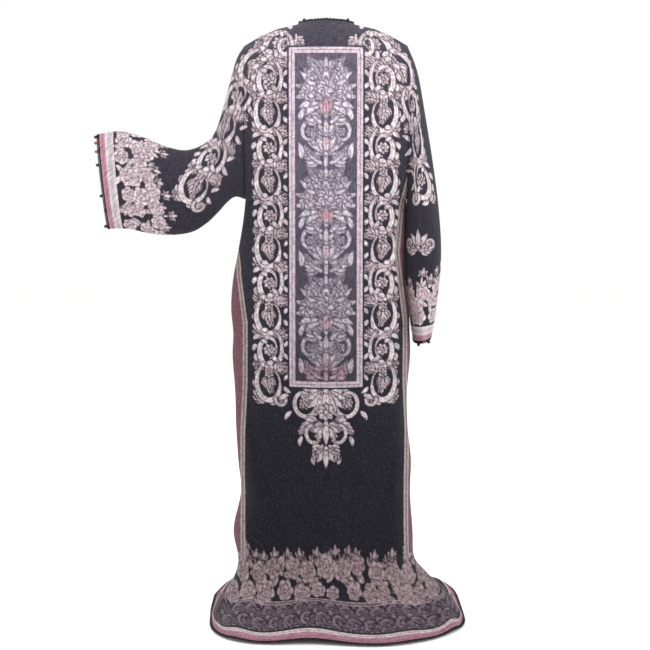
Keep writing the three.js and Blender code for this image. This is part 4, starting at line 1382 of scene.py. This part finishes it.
def makeStudio():
    scene = bpy.context.scene
    camera = bpy.data.objects.new("camera", bpy.data.cameras.new("camera"))
    camera.data.sensor_width = studio["sensor"]
    camera.data.lens = studio["focal"] / studio["imageWidth"] * studio["sensor"]
    camera.location = (studio["aside"], -studio["distance"], studio["eye"])
    camera.rotation_euler = (math.radians(90 - studio["pitch"]), 0, 0)
    scene.collection.objects.link(camera)
    scene.camera = camera

    # a round sheet of studio paper on the floor, wide enough to meet the white surround
    mesh = bpy.data.meshes.new("paperFloor")
    radius, sides = studio["floorRadius"], studio["floorSides"]
    points = [(radius * math.cos(2 * math.pi * k / sides), radius * math.sin(2 * math.pi * k / sides),
               studio["floor"]) for k in range(sides)]
    mesh.from_pydata(points, [], [list(range(sides))])
    floor = bpy.data.objects.new("paperFloor", mesh)
    scene.collection.objects.link(floor)
    paper, tree, shader = newMaterial("backdropPaper")
    coords = addNode(tree, "ShaderNodeTexCoord")
    fibre = addNode(tree, "ShaderNodeTexNoise", {"Vector": coords.outputs["Object"], "Scale": 90.0})
    tone = addNode(tree, "ShaderNodeMix", {0: fibre.outputs["Fac"], 6: linear(studio["paper"]),
                                           7: linear("#ffffff")}, data_type="RGBA")
    tree.links.new(tone.outputs[2], shader.inputs["Base Color"])
    shader.inputs["Roughness"].default_value = 0.95
    mesh.materials.append(paper)

    for name, place, size, power, aim in studio["lights"]:
        lamp = bpy.data.objects.new(name, bpy.data.lights.new(name, "AREA"))
        lamp.data.shape = "DISK"
        lamp.data.size = size
        lamp.data.energy = power
        lamp.location = place
        lamp.rotation_euler = (Vector(aim) - Vector(place)).to_track_quat("-Z", "Y").to_euler()
        scene.collection.objects.link(lamp)
    world = bpy.data.worlds.new("studioWorld")
    world.use_nodes = True
    background = world.node_tree.nodes["Background"]
    background.inputs["Color"].default_value = linear("#ffffff")
    background.inputs["Strength"].default_value = 1.0
    scene.world = world
    scene.view_settings.view_transform = "Standard"


makeStudio()
print("studio made")

cloth = printedClothMaterial()
thread = cottonThreadMaterial()
blackBead = beadMaterial("blackGlassBead", "#0b0b0e", "#16161b")
coralBead = beadMaterial("coralGlassBead", "#b5532f", "#8f3a20")

sheets, grids = {}, {}
for key, node, made in (("back", "back", backSheet()),
                        ("frontLeft", "front_left", frontSheet(-1)),
                        ("frontRight", "front_right", frontSheet(1)),
                        ("sleeveLeft", "sleeve_left", sleeveSheet(-1)),
                        ("sleeveRight", "sleeve_right", sleeveSheet(1))):
    sheet, grid = made
    sheet.data.materials.append(cloth)
    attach(sheet, "root")
    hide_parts(node)
    sheets[key] = sheet
    grids[key] = grid
    print(sheet.name, len(sheet.data.polygons) * 2, "triangles")


def neckRim(row):
    half = body["neckHalf"] - 1.5
    left, back, right = (grids[name][row] for name in ("frontLeft", "back", "frontRight"))
    rim = [left[np.abs(left[:, 0]) <= half + 1.5]]
    rim.append(back[np.abs(back[:, 0]) <= half])
    rim.append(right[np.abs(right[:, 0]) <= half + 1.5][::-1])
    return np.concatenate(rim)


rims = {
    "neck": rimPath(neckRim(0), neckRim(2)),
    "frontLeft": rimPath(grids["frontLeft"][:, 0], grids["frontLeft"][:, 2]),
    "frontRight": rimPath(grids["frontRight"][:, 0], grids["frontRight"][:, 2]),
    "cuffLeft": rimPath(grids["sleeveLeft"][-1], grids["sleeveLeft"][-3], True),
    "cuffRight": rimPath(grids["sleeveRight"][-1], grids["sleeveRight"][-3], True),
    "hemBack": rimPath(grids["back"][-1], grids["back"][-3]),
    "hemLeft": rimPath(grids["frontLeft"][-1], grids["frontLeft"][-3]),
    "hemRight": rimPath(grids["frontRight"][-1], grids["frontRight"][-3]),
}
picotTree = repeatTree("crochetPicots", picotShape)
stitchTree = repeatTree("straightStitches", stitchShape)
beadTree = repeatTree("roundBeads", beadShape)


def makeEdging(name, rim, pitch, reach, node):
    path = stations(rims[rim], edging["cordPitch"], edging["cordStart"])
    cord = smoothPiece(name + "Cord", *cordParts(path), thread)
    places = stations(rims[rim], pitch, 0.6 * pitch)
    places["point"] = places["point"] + places["away"] * (edging["set"] + 0.4 * edging["cord"])
    loops = repeated(name + "Loops", picotTree, places, pitch * 0.98, reach, edging["thread"],
                     edging["loopSides"], thread)
    piece = mergePieces(name, [cord, loops])
    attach(piece, "root")
    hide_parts(node)
    print(name, len(piece.data.polygons), "faces")
    return piece


for rim, name, pitch, reach, node in (
        ("neck", "neckEdging", "neckPitch", "neckReach", "neck_edging"),
        ("frontLeft", "frontEdgingLeft", "neckPitch", "hemReach", "front_edging_left"),
        ("frontRight", "frontEdgingRight", "neckPitch", "hemReach", "front_edging_right"),
        ("cuffLeft", "cuffEdgingLeft", "cuffPitch", "cuffReach", "cuff_edging_left"),
        ("cuffRight", "cuffEdgingRight", "cuffPitch", "cuffReach", "cuff_edging_right"),
        ("hemBack", "hemEdgingBack", "hemPitch", "hemReach", "hem_edging_back"),
        ("hemLeft", "hemEdgingLeft", "hemPitch", "hemReach", "hem_edging_left"),
        ("hemRight", "hemEdgingRight", "hemPitch", "hemReach", "hem_edging_right")):
    makeEdging(name, rim, edging[pitch], edging[reach], node)


def beadPlaces(rim, targets, reach):
    # the rim places nearest to the wanted (x, z) on the given side of the rim
    path = rims[rim]
    chosen = {"point": [], "along": [], "away": []}
    middle = path["point"][:, 1].mean()
    for x, z, face in targets:
        away = np.hypot(path["point"][:, 0] - x, path["point"][:, 2] - z)
        away = away + np.where(face * (path["point"][:, 1] - middle) < 0, 1000, 0)
        k = int(np.argmin(away))
        chosen["point"].append(path["point"][k] + path["away"][k] * reach)
        chosen["along"].append(path["along"][k])
        chosen["away"].append(path["away"][k])
    return {name: np.array(value) for name, value in chosen.items()}


beads = {
    "neck": [(-60, 0, -1), (60, 0, -1), (-48, -70, 1), (48, -70, 1), (-20, -140, 1), (20, -140, 1)],
    "cuffLeft": [(-572, -282, -1), (-567, -354, -1), (-560, -430, -1), (-550, -508, -1),
                 (-569, -318, 1), (-563, -392, 1), (-556, -470, 1)],
    "cuffRight": [(232, -797, -1), (260, -790, -1), (232, -797, 1), (260, -790, 1)],
    "coral": [(-571, -299, -1), (-569, -321, -1)],
}


def makeBeads(name, groups, material):
    meshes = []
    for rim, targets, reach in groups:
        places = beadPlaces(rim, targets, reach)
        meshes.append(repeated(name, beadTree, places, 1, edging["beadRadius"], 1, edging["beadSides"], material))
    piece = mergePieces(name, meshes)
    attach(piece, "root")


neckOut = edging["neckReach"] + edging["beadRadius"] + edging["neckBeadGap"]
cuffOut = edging["cuffReach"] + edging["beadRadius"] + edging["cuffBeadGap"]
makeBeads("blackBeads", [("neck", beads["neck"], neckOut), ("cuffLeft", beads["cuffLeft"], cuffOut),
                         ("cuffRight", beads["cuffRight"], cuffOut)], blackBead)
makeBeads("coralBeads", [("cuffLeft", beads["coral"], cuffOut)], coralBead)


def makeStitching():
    meshes = []
    for rim in rims:
        places = stations(rims[rim], edging["stitchPitch"], edging["stitchStart"])
        face = np.cross(places["away"], places["along"])
        outward = places["point"] - np.array([0, 0, places["point"][:, 2].mean()])
        if rim.startswith("cuff"):
            outward = places["point"] - places["point"].mean(0)
        sign = np.where((face * outward).sum(1) < 0, -1, 1)[:, None]
        face = face * sign
        places["point"] = places["point"] - places["away"] * edging["stitchIn"] + face * 0.15
        places["away"] = face
        meshes.append(repeated("stitches", stitchTree, places, edging["stitchLength"], 0.5, edging["stitchThread"],
                               edging["stitchSides"], thread))
    piece = mergePieces("topStitching", meshes)
    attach(piece, "root")
    return piece


stitching = makeStitching()
print("edging, beads and stitching made")
